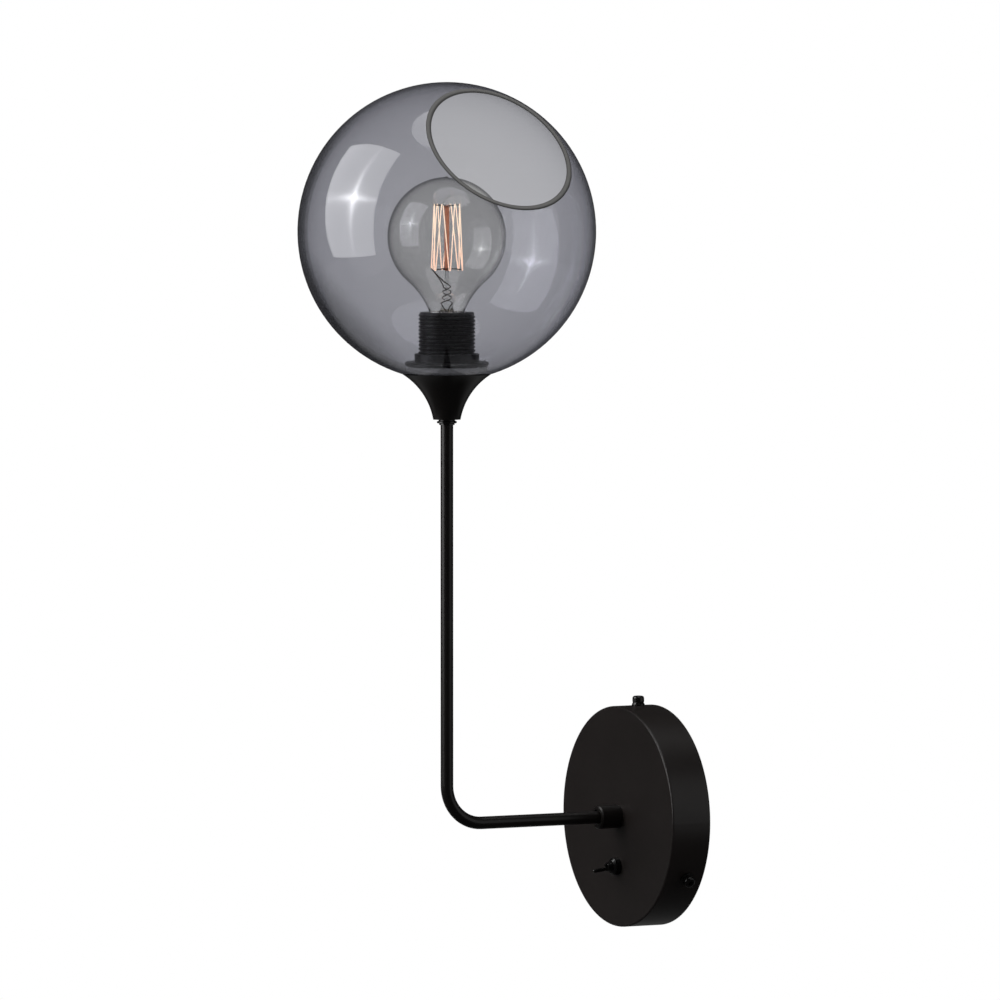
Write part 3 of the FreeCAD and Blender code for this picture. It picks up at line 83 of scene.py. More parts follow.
# ---- light --------------------------------------------------------------------------
SOFTBOX_DISTANCE = 1.1
SOFTBOX_CORNERS = ((-0.483, 0.806, 0.342), (-0.683, 0.617, -0.390),
                   (-0.967, -0.214, -0.137), (-0.799, -0.285, 0.529))
SOFTBOX_HOT = (-0.924, 0.327, 0.201)
SOFTBOX_STRENGTH = 2.85
SOFTBOX_CROSS = 19.0
SOFTBOX_CROSS_WIDTH = 0.035
SOFTBOX_GLOW_WIDTH = 0.20
SOFTBOX_GLOW_HEIGHT = 0.18
FILL_DIRECTION = (0.9, 0.1, 0.35)
FILL_DISTANCE = 2.4
FILL_SIZE = 2.4
FILL_STRENGTH = 6.0
TOP_DIRECTION = (0.1, 0.95, 0.1)
TOP_DISTANCE = 2.2
TOP_SIZE = 2.0
TOP_STRENGTH = 16.0
ROOM_DIFFUSE = 0.42
ROOM_GLOSSY = 0.02
FLOOR_GLOSSY = 0.20
BEHIND_GLASS = 0.64
REFLECTED_IN_GLASS = 0.32
FLOOR_DROP = 0.34
FLOOR_RADIUS = 3.0
FLOOR_CLEAR = 1.1
FLOOR_NEAR_SHARE = 0.42
FLOOR_SHEEN_FROM = 0.10
FLOOR_SHEEN_TO = 0.45
FLOOR_FADE_FROM = 1.0
FLOOR_FADE_TO = 1.6
FLOOR_FADED = 0.05

# ---- sizes of the finer detail ------------------------------------------------------
BARREL_THREAD_PITCH = 2.5 * MM
BARREL_THREAD_CREST = 19.25 * MM
BARREL_THREAD_DEPTH = 1.1 * MM
LAMP_THREAD_PITCH = 3.629 * MM
LAMP_THREAD_DEPTH = 0.45 * MM
LAMP_BORE = 13.8 * MM
BARREL_CHAMFER = 1.0 * MM
BARREL_BLOCK = 1.5 * MM
BUSHING_THREAD_PITCH = 0.75 * MM
BUSHING_THREAD_DEPTH = 0.22 * MM
BUSHING_BORE = 1.75 * MM
BUSHING_SEAT_RADIUS = 2.2 * MM
BUSHING_CHAMFER = 0.45 * MM
BUSHING_MOUTH = 0.9 * MM
CAP_FOOT_SHARE = 0.84
CAP_WALL = 0.4 * MM
CAP_THREAD_DEPTH = 0.75 * MM
THREAD_RUNOUT = 0.5
THREAD_STEPS = 12
WIRE_ROUNDNESS = 4
FILAMENT_PEAKS = 6
FILAMENT_TURN = -120
FILAMENT_RADIUS = 0.36 * MM
FILAMENT_HOOK = 0.65 * MM
CAGE_FOOT_RADIUS = 10.8 * MM
CAGE_TOP_RADIUS = 8.8 * MM
CAGE_HOOK_RISE = 1.2 * MM
HOOK_ROOT = 1.5 * MM
STEM_TUBE_RADIUS = 5.3 * MM
STEM_ROD_RADIUS = 1.6 * MM
STEM_CORE = 0.05 * MM
HUB_HALF = 0.6 * MM
SUPPORT_RADIUS = 0.36 * MM
LEAD_COIL = 4.2 * MM
LEAD_TAPER = 0.13 * MM
LEAD_SWAY = 0.3 * MM
LEAD_RISE = 0.95 * MM
LEAD_SINK = 3 * MM
LEAD_STEP = 45
LEAD_COIL_POINTS = 15
SMOKE_TINT = (0.0, 0.01, 0.15, 1.0)
SMOKE_DENSITY = 175.0
SMOKE_STOPS = ((0.0, 1.0), (0.45, 1.0), (0.62, 0.98), (0.75, 0.96), (0.90, 0.96), (1.0, 0.96))
# Painted shade: a dark crescent along the globe's outline on one side.
CRESCENT_STOPS = ((0.0, 1.0), (0.50, 1.0), (0.64, 0.98), (0.68, 0.92), (0.705, 0.44),
                  (0.86, 0.36), (1.0, 0.50))
CRESCENT_SIDE = (-0.86, -0.50)
CRESCENT_FROM = 0.05
CRESCENT_TO = 0.55
LAMP_STOPS = ((0.0, 1.0), (0.60, 1.0), (0.72, 0.92), (0.78, 0.74), (0.83, 0.34), (1.0, 0.12))
STEM_STOPS = ((0.0, 1.0), (0.62, 1.0), (0.86, 0.55), (1.0, 0.30))
# Painted shade: a broad darkening of the globe's lower left side, as the camera sees it.
PAINTED_SHADE_SIDE = (-0.74, -0.67)
PAINTED_SHADE_LEVEL = 0.60
PAINTED_SHADE_FROM = 0.74
PAINTED_SHADE_TO = 1.0
MOUTH_STOPS = ((0.0, 0.03), (0.22, 0.05), (0.42, 0.17), (0.66, 0.17), (0.82, 0.05), (1.0, 0.02))
MOUTH_TILT = math.radians(49.0)
MOUTH_YAW = math.radians(4.0)
MOUTH_EDGE_DEPTH = 0.05 * MM
GLASS_IOR = 1.47
STEM_IOR = 1.13
GLOW_STRENGTH = 1.55
# Strength of the glow painted on the glass rod near the filament.
ROD_GLOW_STRENGTH = 0.34


def view_axes():
    """Directions to the camera, to its right and upwards in its picture."""
    back = Vector((math.sin(VIEW_AZIMUTH) * math.cos(VIEW_ELEVATION),
                   -math.cos(VIEW_AZIMUTH) * math.cos(VIEW_ELEVATION), math.sin(VIEW_ELEVATION)))
    right = Vector((math.cos(VIEW_AZIMUTH), math.sin(VIEW_AZIMUTH), 0))
    return back, right, back.cross(right)


# ---- node materials -----------------------------------------------------------------
def new_material(name):
    """Empty node material and its tree."""
    material = bpy.data.materials.new(name)
    material.use_nodes = True
    material.node_tree.nodes.clear()
    return material, material.node_tree


def node(tree, kind, inputs=None, **settings):
    """Add a node; an input is a value, or the socket that it is linked from."""
    made = tree.nodes.new(kind)
    for name, value in settings.items():
        setattr(made, name, value)
    for name, value in (inputs or {}).items():
        if isinstance(value, bpy.types.NodeSocket):
            tree.links.new(value, made.inputs[name])
        else:
            made.inputs[name].default_value = value
    return made


def place(tree):
    """Place on the object in metres."""
    return node(tree, "ShaderNodeTexCoord").outputs["Object"]


def distance_along(tree, axis):
    """How far a point of the object lies along an axis."""
    made = node(tree, "ShaderNodeVectorMath", operation="DOT_PRODUCT")
    tree.links.new(place(tree), made.inputs[0])
    made.inputs[1].default_value = axis
    return made.outputs["Value"]

def between(tree, value, start, end, first, last, curve="LINEAR"):
    """Number that goes from first to last while a value goes from start to end."""
    return node(tree, "ShaderNodeMapRange", {
        "Value": value, "From Min": start, "From Max": end, "To Min": first, "To Max": last},
        interpolation_type=curve).outputs[0]

def grain(tree, scale, detail=4.0, stretch=(1, 1, 1)):
    """Noise over the object."""
    mapping = node(tree, "ShaderNodeMapping", {"Vector": place(tree), "Scale": stretch})
    return node(tree, "ShaderNodeTexNoise",
                {"Vector": mapping.outputs[0], "Scale": scale, "Detail": detail}).outputs["Fac"]


def span(tree, value, low, high):
    """Spread a 0 to 1 value between two others."""
    return node(tree, "ShaderNodeMapRange", {"Value": value, "To Min": low, "To Max": high}).outputs[0]


def two_tone(tree, value, first, second):
    """Colour between two, by a value around a half."""
    ramp = node(tree, "ShaderNodeValToRGB", {"Fac": value})
    ramp.color_ramp.elements[0].position = 0.3
    ramp.color_ramp.elements[0].color = (*first, 1)
    ramp.color_ramp.elements[1].position = 0.7
    ramp.color_ramp.elements[1].color = (*second, 1)
    return ramp.outputs[0]


def bump(tree, height, distance, strength=1.0, over=None):
    """Normal from a height, over a softened edge if one is given."""
    made = node(tree, "ShaderNodeBump", {"Height": height, "Distance": distance, "Strength": strength})
    if over is not None:
        tree.links.new(over, made.inputs["Normal"])
    return made.outputs[0]


def math_node(tree, operation, first, second=0.0):
    """One arithmetic step."""
    made = node(tree, "ShaderNodeMath", operation=operation)
    for index, value in enumerate((first, second)):
        if isinstance(value, bpy.types.NodeSocket):
            tree.links.new(value, made.inputs[index])
        else:
            made.inputs[index].default_value = value
    return made.outputs[0]


def choose(tree, flag, value, otherwise):
    """One number where a flag is set, another where it isn't."""
    made = node(tree, "ShaderNodeMix", data_type="FLOAT")
    tree.links.new(flag, made.inputs[0])
    for index, item in ((2, otherwise), (3, value)):
        if isinstance(item, bpy.types.NodeSocket):
            tree.links.new(item, made.inputs[index])
        else:
            made.inputs[index].default_value = item
    return made.outputs[0]


def straight_through(tree, path):
    """One for a ray that has passed glass and met no reflection, nought for the rest."""
    unreflected = math_node(tree, "LESS_THAN", path.outputs["Glossy Depth"], 0.5)
    return math_node(tree, "MULTIPLY", path.outputs["Is Transmission Ray"], unreflected)


def output(tree, surface, volume=None):
    """Material output."""
    made = node(tree, "ShaderNodeOutputMaterial", {"Surface": surface})
    if volume is not None:
        tree.links.new(volume, made.inputs["Volume"])


def coating(name, dark, light, roughness, specular, peel=0.00002, edge=0.0):
    """Powder coat or lacquer: a fine orange peel, faint mottling and uneven sheen."""
    material, tree = new_material(name)
    fine = grain(tree, 1700, 3)
    broad = grain(tree, 26, 4)
    rounded = node(tree, "ShaderNodeBevel", {"Radius": edge}).outputs[0] if edge else None
    shader = node(tree, "ShaderNodeBsdfPrincipled", {
        "Base Color": two_tone(tree, broad, dark, light),
        "Roughness": span(tree, grain(tree, 420, 5), roughness - 0.05, roughness + 0.06),
        "Specular IOR Level": specular,
        "Normal": bump(tree, fine, peel, 1.0, rounded)})
    output(tree, shader.outputs[0])
    return material


def metal(name, dark, light, roughness, stretch=(1, 1, 1)):
    """Plated or rolled metal with fine drawn marks and patchy tone."""
    material, tree = new_material(name)
    marks = grain(tree, 900, 6, stretch)
    shader = node(tree, "ShaderNodeBsdfPrincipled", {
        "Base Color": two_tone(tree, grain(tree, 60, 5), dark, light),
        "Metallic": 1.0,
        "Roughness": span(tree, marks, roughness - 0.09, roughness + 0.12),
        "Normal": bump(tree, marks, 0.00001)})
    output(tree, shader.outputs[0])
    return material


def moulding(name, dark, light, roughness, specular=0.4):
    """Moulded plastic or rubber with a fine even grain."""
    material, tree = new_material(name)
    fine = grain(tree, 2600, 2)
    shader = node(tree, "ShaderNodeBsdfPrincipled", {
        "Base Color": two_tone(tree, grain(tree, 90, 4), dark, light),
        "Roughness": span(tree, grain(tree, 700, 4), roughness - 0.05, roughness + 0.07),
        "Specular IOR Level": specular,
        "Normal": bump(tree, fine, 0.000012)})
    output(tree, shader.outputs[0])
    return material


def insulation(name, dark, light, stripe=None):
    """Extruded wire insulation, with a lengthwise stripe if a colour is given."""
    material, tree = new_material(name)
    colour = two_tone(tree, grain(tree, 150, 3), dark, light)
    if stripe:
        wave = node(tree, "ShaderNodeTexWave", {"Vector": place(tree), "Scale": 130.0, "Distortion": 0.4},
                    bands_direction="X")
        band = math_node(tree, "GREATER_THAN", wave.outputs["Fac"], 0.62)
        mix = node(tree, "ShaderNodeMix", {"Factor": band}, data_type="RGBA")
        tree.links.new(colour, mix.inputs[6])
        mix.inputs[7].default_value = (*stripe, 1)
        colour = mix.outputs[2]
    shader = node(tree, "ShaderNodeBsdfPrincipled", {
        "Base Color": colour,
        "Roughness": span(tree, grain(tree, 900, 3), 0.3, 0.42),
        "Normal": bump(tree, grain(tree, 1500, 2), 0.00001)})
    output(tree, shader.outputs[0])
    return material


def let_light_through(tree, shader, tint):
    """Glass casts a tinted shadow instead of a solid one."""
    clear = node(tree, "ShaderNodeBsdfTransparent", {"Color": (*tint, 1)})
    shadow = node(tree, "ShaderNodeLightPath").outputs["Is Shadow Ray"]
    mix = node(tree, "ShaderNodeMixShader", {"Fac": shadow})
    tree.links.new(shader, mix.inputs[1])
    tree.links.new(clear.outputs[0], mix.inputs[2])
    return mix.outputs[0]


def grey_ramp(tree, value, stops):
    """Grey level over a value, from pairs of position and level."""
    made = node(tree, "ShaderNodeValToRGB", {"Fac": value})
    elements = made.color_ramp.elements
    for index, (position, level) in enumerate(stops):
        stop = elements[index] if index < 2 else elements.new(position)
        stop.position = position
        stop.color = (level, level, level, 1)
    return made.outputs[0]

def edge_ramp(tree, stops):
    """Tint of glass from its middle to its outline, where it is seen edge on."""
    facing = node(tree, "ShaderNodeLayerWeight", {"Blend": 0.5}).outputs["Facing"]
    return grey_ramp(tree, facing, stops)


def times(tree, colour, shade):
    """Product of two colours."""
    mix = node(tree, "ShaderNodeMix", data_type="RGBA", blend_type="MULTIPLY")
    mix.inputs[0].default_value = 1.0
    tree.links.new(colour, mix.inputs[6])
    tree.links.new(shade, mix.inputs[7])
    return mix.outputs[2]


def middle_of(name):
    """Centre of a piece's box."""
    low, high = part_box(name)
    return (low + high) / 2


def mouth_axis():
    """Direction in which the globe's cut-out faces."""
    return Vector((math.sin(MOUTH_TILT) * math.cos(MOUTH_YAW),
                   math.sin(MOUTH_TILT) * math.sin(MOUTH_YAW), math.cos(MOUTH_TILT)))


def mouth_height(obj):
    """How far the globe's outermost rim lies along the mouth's axis."""
    axis = mouth_axis()
    return max(axis.dot(vertex.co) for vertex in obj.data.vertices)


def share_along(tree, side, near, far, first, last):
    """Number that goes from first to last between two shares of the globe's radius along a side."""
    _, right, up = view_axes()
    toward = (right * side[0] + up * side[1]).normalized()
    low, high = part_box("glass_globe")
    radius = (high.x - low.x) / 2
    middle = toward.dot((low + high) / 2)
    return between(tree, distance_along(tree, toward), middle + near * radius, middle + far * radius,
                   first, last, "SMOOTHSTEP")


def blown_wall(tree):
    """Tint of the blown wall: an even grey, with painted shade on one side, down and left as the camera sees
    it: a dark crescent along the outline and a broad darkening.
    """
    # Painted shade: a dark crescent along the outline on one side.
    crescent = node(tree, "ShaderNodeMix", data_type="RGBA")
    tree.links.new(share_along(tree, CRESCENT_SIDE, CRESCENT_FROM, CRESCENT_TO, 0.0, 1.0), crescent.inputs[0])
    tree.links.new(edge_ramp(tree, SMOKE_STOPS), crescent.inputs[6])
    tree.links.new(edge_ramp(tree, CRESCENT_STOPS), crescent.inputs[7])
    # Painted shade: a broad darkening of that side.
    level = share_along(tree, PAINTED_SHADE_SIDE, PAINTED_SHADE_FROM, PAINTED_SHADE_TO, 1.0, PAINTED_SHADE_LEVEL)
    painted_shade = node(tree, "ShaderNodeCombineColor", {"Red": level, "Green": level, "Blue": level}).outputs[0]
    even = two_tone(tree, grain(tree, 9, 3), (0.970, 0.970, 0.970), (0.995, 0.995, 0.995))
    return times(tree, times(tree, even, crescent.outputs[2]), painted_shade)


def mouth_ring(obj):
    """Inner and outer radius of the mouth's flat edge."""
    axis = mouth_axis()
    level = mouth_height(obj) - MOUTH_EDGE_DEPTH
    centre = middle_of("glass_globe")
    radii = [(vertex.co - centre).cross(axis).length for vertex in obj.data.vertices
             if axis.dot(vertex.co) > level]
    return min(radii), max(radii)


def ground_tone(tree):
    """Grey of the ground edge, dark along both of its arrises."""
    offset = node(tree, "ShaderNodeVectorMath", operation="SUBTRACT")
    tree.links.new(place(tree), offset.inputs[0])
    offset.inputs[1].default_value = middle_of("glass_globe")
    cross = node(tree, "ShaderNodeVectorMath", operation="CROSS_PRODUCT")
    tree.links.new(offset.outputs[0], cross.inputs[0])
    cross.inputs[1].default_value = mouth_axis()
    radius = node(tree, "ShaderNodeVectorMath", {"Vector": cross.outputs[0]}, operation="LENGTH")
    inner, outer = mouth_ring(NODES["glass_globe"])
    share = between(tree, radius.outputs["Value"], inner, outer, 0.0, 1.0)
    patchy = two_tone(tree, grain(tree, 1900, 4), (0.80, 0.79, 0.77), (1.0, 0.985, 0.955))
    return times(tree, patchy, grey_ramp(tree, share, MOUTH_STOPS))


def smoke_glass():
    """Blown smoke-grey glass with a ground, matt edge round its mouth."""
    material, tree = new_material("smoke_glass")
    glass = node(tree, "ShaderNodeBsdfPrincipled", {
        "Base Color": blown_wall(tree),
        "Roughness": 0.0, "IOR": GLASS_IOR, "Transmission Weight": 1.0,
        "Normal": bump(tree, grain(tree, 14, 2), 0.00004, 0.5)})
    ground = node(tree, "ShaderNodeBsdfPrincipled", {
        "Base Color": ground_tone(tree),
        "Roughness": span(tree, grain(tree, 1400, 3), 0.45, 0.6),
        "Normal": bump(tree, grain(tree, 2400, 3), 0.00002)})
    edge = mouth_height(NODES["glass_globe"]) - MOUTH_EDGE_DEPTH
    on_edge = math_node(tree, "GREATER_THAN", distance_along(tree, mouth_axis()), edge)
    mix = node(tree, "ShaderNodeMixShader", {"Fac": on_edge})
    tree.links.new(glass.outputs[0], mix.inputs[1])
    tree.links.new(ground.outputs[0], mix.inputs[2])
    smoke = node(tree, "ShaderNodeVolumeAbsorption", {"Color": SMOKE_TINT, "Density": SMOKE_DENSITY})
    output(tree, let_light_through(tree, mix.outputs[0], (0.96, 0.96, 0.96)), smoke.outputs[0])
    return material


def clear_glass(name, tone, haze, stops, bend=GLASS_IOR):
    """Thin clear lamp glass, darker where it is seen edge on."""
    material, tree = new_material(name)
    shader = node(tree, "ShaderNodeBsdfPrincipled", {
        "Base Color": times(tree, two_tone(tree, grain(tree, 30, 3), tone, tuple(0.99 * c for c in tone)),
                            edge_ramp(tree, stops)),
        "Roughness": haze,
        "IOR": bend, "Transmission Weight": 1.0,
        "Normal": bump(tree, grain(tree, 35, 2), 0.00003, 0.5)})
    output(tree, let_light_through(tree, shader.outputs[0], (0.94, 0.94, 0.94)))
    return material


def glowing_wire():
    """Incandescent wire, hotter and paler towards its top."""
    material, tree = new_material("glowing_wire")
    low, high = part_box("bulb_filament")
    up = node(tree, "ShaderNodeSeparateXYZ", {"Vector": place(tree)}).outputs["Z"]
    rise = between(tree, up, low.z, high.z, 0.0, 1.0)
    flicker = math_node(tree, "MULTIPLY", grain(tree, 1200, 2), 0.3)
    colour = two_tone(tree, math_node(tree, "ADD", rise, flicker),
                      (1.0, 0.66, 0.50), (1.0, 0.80, 0.62))
    shader = node(tree, "ShaderNodeBsdfPrincipled", {
        "Base Color": (0.5, 0.3, 0.2, 1), "Roughness": 0.5,
        "Emission Color": colour, "Emission Strength": GLOW_STRENGTH})
    output(tree, shader.outputs[0])
    return material


def stem_rod():
    """Glass rod with the filament's light painted on: an amber-brown colour and a painted glow, as the rod is
    no lamp.
    """
    material, tree = new_material("stem_rod")
    shader = node(tree, "ShaderNodeBsdfPrincipled", {
        "Base Color": two_tone(tree, grain(tree, 500, 3), (0.42, 0.17, 0.09), (0.58, 0.27, 0.15)),
        "Roughness": 0.14, "IOR": 1.5, "Transmission Weight": 0.25,
        "Emission Color": (0.50, 0.17, 0.10, 1.0), "Emission Strength": ROD_GLOW_STRENGTH})
    output(tree, let_light_through(tree, shader.outputs[0], (0.8, 0.65, 0.5)))
    return material


BLACK_COAT = coating("black_coat", (0.0062, 0.0050, 0.0046), (0.0080, 0.0066, 0.0060), 0.31, 0.40)
# The canopy has the same black powder coat as black_coat. Its lighter base colour is painted light, while its
# roughness and rounded edge are its own.
PLATE_COAT_PAINTED_LIGHT = coating("plate_coat_painted_light", (0.0118, 0.0092, 0.0085), (0.0150, 0.0120, 0.0112), 0.34, 0.40,
                     edge=0.0010)
BLACK_GLOSS = coating("black_gloss", (0.0028, 0.0025, 0.0024), (0.0045, 0.0040, 0.0038), 0.22, 0.5, 0.000008)
BLACK_PLASTIC = moulding("black_plastic", (0.0014, 0.0013, 0.0013), (0.0026, 0.0024, 0.0023), 0.28)
PALE_PLASTIC = moulding("pale_insulator", (0.70, 0.69, 0.64), (0.79, 0.78, 0.74), 0.42)
SILICONE = moulding("clear_silicone", (0.52, 0.52, 0.50), (0.62, 0.62, 0.60), 0.38)
RUBBER = moulding("black_rubber", (0.020, 0.020, 0.020), (0.034, 0.034, 0.033), 0.65, 0.25)
VITRITE = moulding("dark_insulator", (0.006, 0.006, 0.010), (0.012, 0.012, 0.018), 0.14, 0.5)
ZINC = metal("zinc_steel", (0.50, 0.51, 0.53), (0.66, 0.67, 0.68), 0.34, (1, 1, 6))
BRASS = metal("brass", (0.66, 0.45, 0.17), (0.80, 0.58, 0.26), 0.30)
NICKEL = metal("nickel_cap", (0.62, 0.61, 0.58), (0.76, 0.75, 0.72), 0.24)
SOLDER = metal("solder", (0.46, 0.46, 0.45), (0.62, 0.62, 0.60), 0.48)
SUPPORT = metal("support_wire", (0.035, 0.028, 0.024), (0.075, 0.062, 0.052), 0.42)
# The red-brown of the rod's hubs is painted filament light, not their own colour.
HUB_PAINTED_FILAMENT_LIGHT = metal("hub_painted_filament_light", (0.22, 0.06, 0.03), (0.34, 0.11, 0.05), 0.45)
SMOKE = smoke_glass()
LAMP_GLASS = clear_glass("clear_glass", (0.97, 0.97, 0.945), 0.0, LAMP_STOPS)
STEM_GLASS = clear_glass("stem_glass", (0.95, 0.96, 0.96), 0.02, STEM_STOPS, STEM_IOR)
GLOW = glowing_wire()
ROD_PAINTED_GLOW = stem_rod()

FINISHES = {
    PLATE_COAT_PAINTED_LIGHT: ("canopy",),
    BLACK_COAT: ("arm_socket", "arm_tube", "trumpet_cup"),
    BLACK_GLOSS: ("arm_nipple", "cup_locknut", "side_screw_top", "side_screw_left", "side_screw_right",
                  "switch_dress_nut", "switch_lever", "switch_bushing"),
    BLACK_PLASTIC: ("lampholder_cap", "lampholder_barrel", "shade_ring", "switch_housing"),
    PALE_PLASTIC: ("contact_block", "terminal_block"),
    SILICONE: ("shade_gasket",),
    RUBBER: ("cable_grommet",),
    VITRITE: ("bulb_insulator",),
    ZINC: ("wall_bracket", "arm_washer", "arm_nut", "cup_nut", "switch_back_nut", "terminal_screws",
           "earth_screw"),
    BRASS: ("contact_screws", "centre_contact", "side_contact", "switch_rocker", "switch_lugs", "earth_tag"),
    NICKEL: ("bulb_cap",),
    SOLDER: ("bulb_contact",),
    SMOKE: ("glass_globe",),
    LAMP_GLASS: ("bulb_glass",),
    STEM_GLASS: ("bulb_stem",),
    GLOW: ("bulb_filament",),
    SUPPORT: ("bulb_supports",),
    insulation("wire_blue", (0.02, 0.10, 0.42), (0.04, 0.16, 0.55)): ("wire_neutral",),
    insulation("wire_black", (0.012, 0.012, 0.012), (0.024, 0.024, 0.024)): ("wire_switched",),
    insulation("wire_brown", (0.15, 0.06, 0.025), (0.22, 0.10, 0.05)): ("wire_live",),
    insulation("wire_green_yellow", (0.06, 0.30, 0.05), (0.09, 0.38, 0.08),
               (0.75, 0.62, 0.05)): ("wire_earth",),
}


def finish_nodes():
    """Give every carried-over piece its material."""
    for material, names in FINISHES.items():
        for name in names:
            slots = NODES[name].data.materials
            slots.clear()
            slots.append(material)


# ---- modelling helpers --------------------------------------------------------------
def link_mesh(name, mesh, material, body):
    """Put a mesh in the scene, on its body."""
    obj = bpy.data.objects.new(name, mesh)
    bpy.context.scene.collection.objects.link(obj)
    mesh.materials.append(material)
    for face in mesh.polygons:
        face.use_smooth = True
    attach(obj, body)
    return obj


def turned(name, loops, centre, segments, material, body):
    """Closed ring of loops about an upright axis; a loop gives (radius, height) at an angle."""
    mesh = bpy.data.meshes.new(name)
    build = bmesh.new()
    rows = []
    for loop in loops:
        row = []
        for step in range(segments):
            angle = 2 * math.pi * step / segments
            radius, height = loop(angle)
            row.append(build.verts.new((centre.x + radius * math.cos(angle),
                                        centre.y + radius * math.sin(angle), height)))
        rows.append(row)
    for index, row in enumerate(rows):
        above = rows[(index + 1) % len(rows)]
        for step in range(segments):
            ahead = (step + 1) % segments
            build.faces.new((row[step], row[ahead], above[ahead], above[step]))
    bmesh.ops.recalc_face_normals(build, faces=build.faces)
    build.to_mesh(mesh)
    build.free()
    return link_mesh(name, mesh, material, body)


def still(radius, height):
    """Loop that is the same all round."""
    return lambda angle: (radius, height)


def rounded_ridge(share):
    """Height of a rounded thread ridge, 0 at its root and 1 at its crest."""
    return 0.5 - 0.5 * math.cos(2 * math.pi * share)


def thread_loops(root, depth, pitch, low, high, steps_per_pitch=THREAD_STEPS):
    """Loops of a helical thread between two heights, fading out at both ends."""
    count = max(int((high - low) / pitch * steps_per_pitch), 2)
    runout = THREAD_RUNOUT * pitch

    def loop_at(height):
        fade = min(1.0, (height - low) / runout, (high - height) / runout)

        def loop(angle):
            share = (height - low) / pitch - angle / (2 * math.pi)
            return root + depth * max(fade, 0.0) * rounded_ridge(share % 1.0), height
        return loop

    return [loop_at(low + (high - low) * step / count) for step in range(count + 1)]


def wire_piece(name, routes, radius, material, body):
    """Round wires along routes of points, as one smooth curve object turned to a mesh."""
    curve = bpy.data.curves.new(name, "CURVE")
    curve.dimensions = "3D"
    curve.bevel_depth = radius
    curve.bevel_resolution = WIRE_ROUNDNESS
    curve.use_fill_caps = True
    for route in routes:
        spline = curve.splines.new("NURBS")
        spline.points.add(len(route) - 1)
        for point, at in zip(spline.points, route):
            point.co = (*at, 1)
        spline.order_u = min(3, len(route))
        spline.use_endpoint_u = True
    holder = bpy.data.objects.new(name + "_line", curve)
    bpy.context.scene.collection.objects.link(holder)
    bpy.context.view_layer.update()
    mesh = bpy.data.meshes.new_from_object(holder.evaluated_get(bpy.context.evaluated_depsgraph_get()))
    mesh.name = name
    bpy.data.objects.remove(holder)
    return link_mesh(name, mesh, material, body)


# ---- lampholder and bulb ------------------------------------------------------------
def threaded_barrel():
    """Lampholder barrel with the shade ring's thread outside and the lamp's thread inside."""
    low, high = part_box("lampholder_barrel")
    centre = (low + high) / 2
    root = BARREL_THREAD_CREST - BARREL_THREAD_DEPTH
    block_top = low.z + BARREL_BLOCK
    outside = thread_loops(root, BARREL_THREAD_DEPTH, BARREL_THREAD_PITCH, low.z + 3 * MM,
                           high.z - 0.7 * MM)
    inside = thread_loops(LAMP_BORE, -LAMP_THREAD_DEPTH, LAMP_THREAD_PITCH, block_top + 1 * MM,
                          high.z - BARREL_CHAMFER)
    loops = [still(root - 2 * MM, low.z), still(root, low.z)] + outside
    loops += [still(root - 0.3 * MM, high.z), still(LAMP_BORE + BARREL_CHAMFER, high.z)] + inside[::-1]
    loops += [still(LAMP_BORE, block_top), still(root - 2 * MM, block_top)]
    piece = turned("threaded_barrel", loops, centre, 128, BLACK_PLASTIC, "fixture")
    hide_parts("lampholder_barrel")


def threaded_cap():
    """Rolled screw shell of the bulb."""
    low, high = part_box("bulb_cap")
    centre = (low + high) / 2
    outer = (high.x - low.x) / 2
    root = outer - CAP_THREAD_DEPTH
    foot = CAP_FOOT_SHARE * outer
    wall = CAP_WALL
    start = low.z + 2.5 * MM
    end = high.z - 1.2 * MM
    outside = thread_loops(root, CAP_THREAD_DEPTH, LAMP_THREAD_PITCH, start, end)
    inside = thread_loops(root - wall, CAP_THREAD_DEPTH, LAMP_THREAD_PITCH, start, end)
    loops = [still(foot - wall, low.z), still(foot, low.z)] + outside
    loops += [still(outer, high.z - 0.5 * MM), still(outer, high.z), still(outer - wall, high.z)]
    loops += inside[::-1] + [still(foot - wall, low.z + wall)]
    piece = turned("threaded_cap", loops, centre, 96, NICKEL, "bulb")
    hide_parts("bulb_cap")


def threaded_bushing():
    """Switch bushing with its fine thread showing in front of the nut."""
    low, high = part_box("switch_bushing")
    centre = (low + high) / 2
    outer = (high.x - low.x) / 2
    root = outer - BUSHING_THREAD_DEPTH
    bore = BUSHING_BORE
    seat = BUSHING_SEAT_RADIUS
    length = high.y - low.y
    outside = thread_loops(root, BUSHING_THREAD_DEPTH, BUSHING_THREAD_PITCH, 0.0, length - 0.3 * MM, 10)
    loops = [still(root, 0.0)] + outside
    loops += [still(outer - BUSHING_CHAMFER, length), still(bore + BUSHING_MOUTH, length),
              still(bore, length - BUSHING_MOUTH)]
    loops += [still(bore, 6 * MM), still(seat, 5 * MM), still(seat, 0.0)]
    piece = turned("threaded_bushing", loops, Vector((0, 0, 0)), 72, BLACK_GLOSS, "fixture")
    for vertex in piece.data.vertices:
        x, y, z = vertex.co
        vertex.co = (x, high.y - z, centre.z + y)
    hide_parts("switch_bushing")


def cage_point(centre, radius, angle, height):
    """Point about the bulb's axis, at an angle in degrees."""
    turn = math.radians(angle)
    return Vector((centre.x + radius * math.cos(turn), centre.y + radius * math.sin(turn), height))


def angle_of(point, centre):
    """Angle of a point about the bulb's axis, in degrees."""
    return math.degrees(math.atan2(point.y - centre.y, point.x - centre.x))


def cage_sizes():
    """Axis, foot and top heights and radii of the filament's cage."""
    low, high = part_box("bulb_filament")
    centre = middle_of("bulb_stem")
    return centre, low.z, high.z, CAGE_FOOT_RADIUS, CAGE_TOP_RADIUS


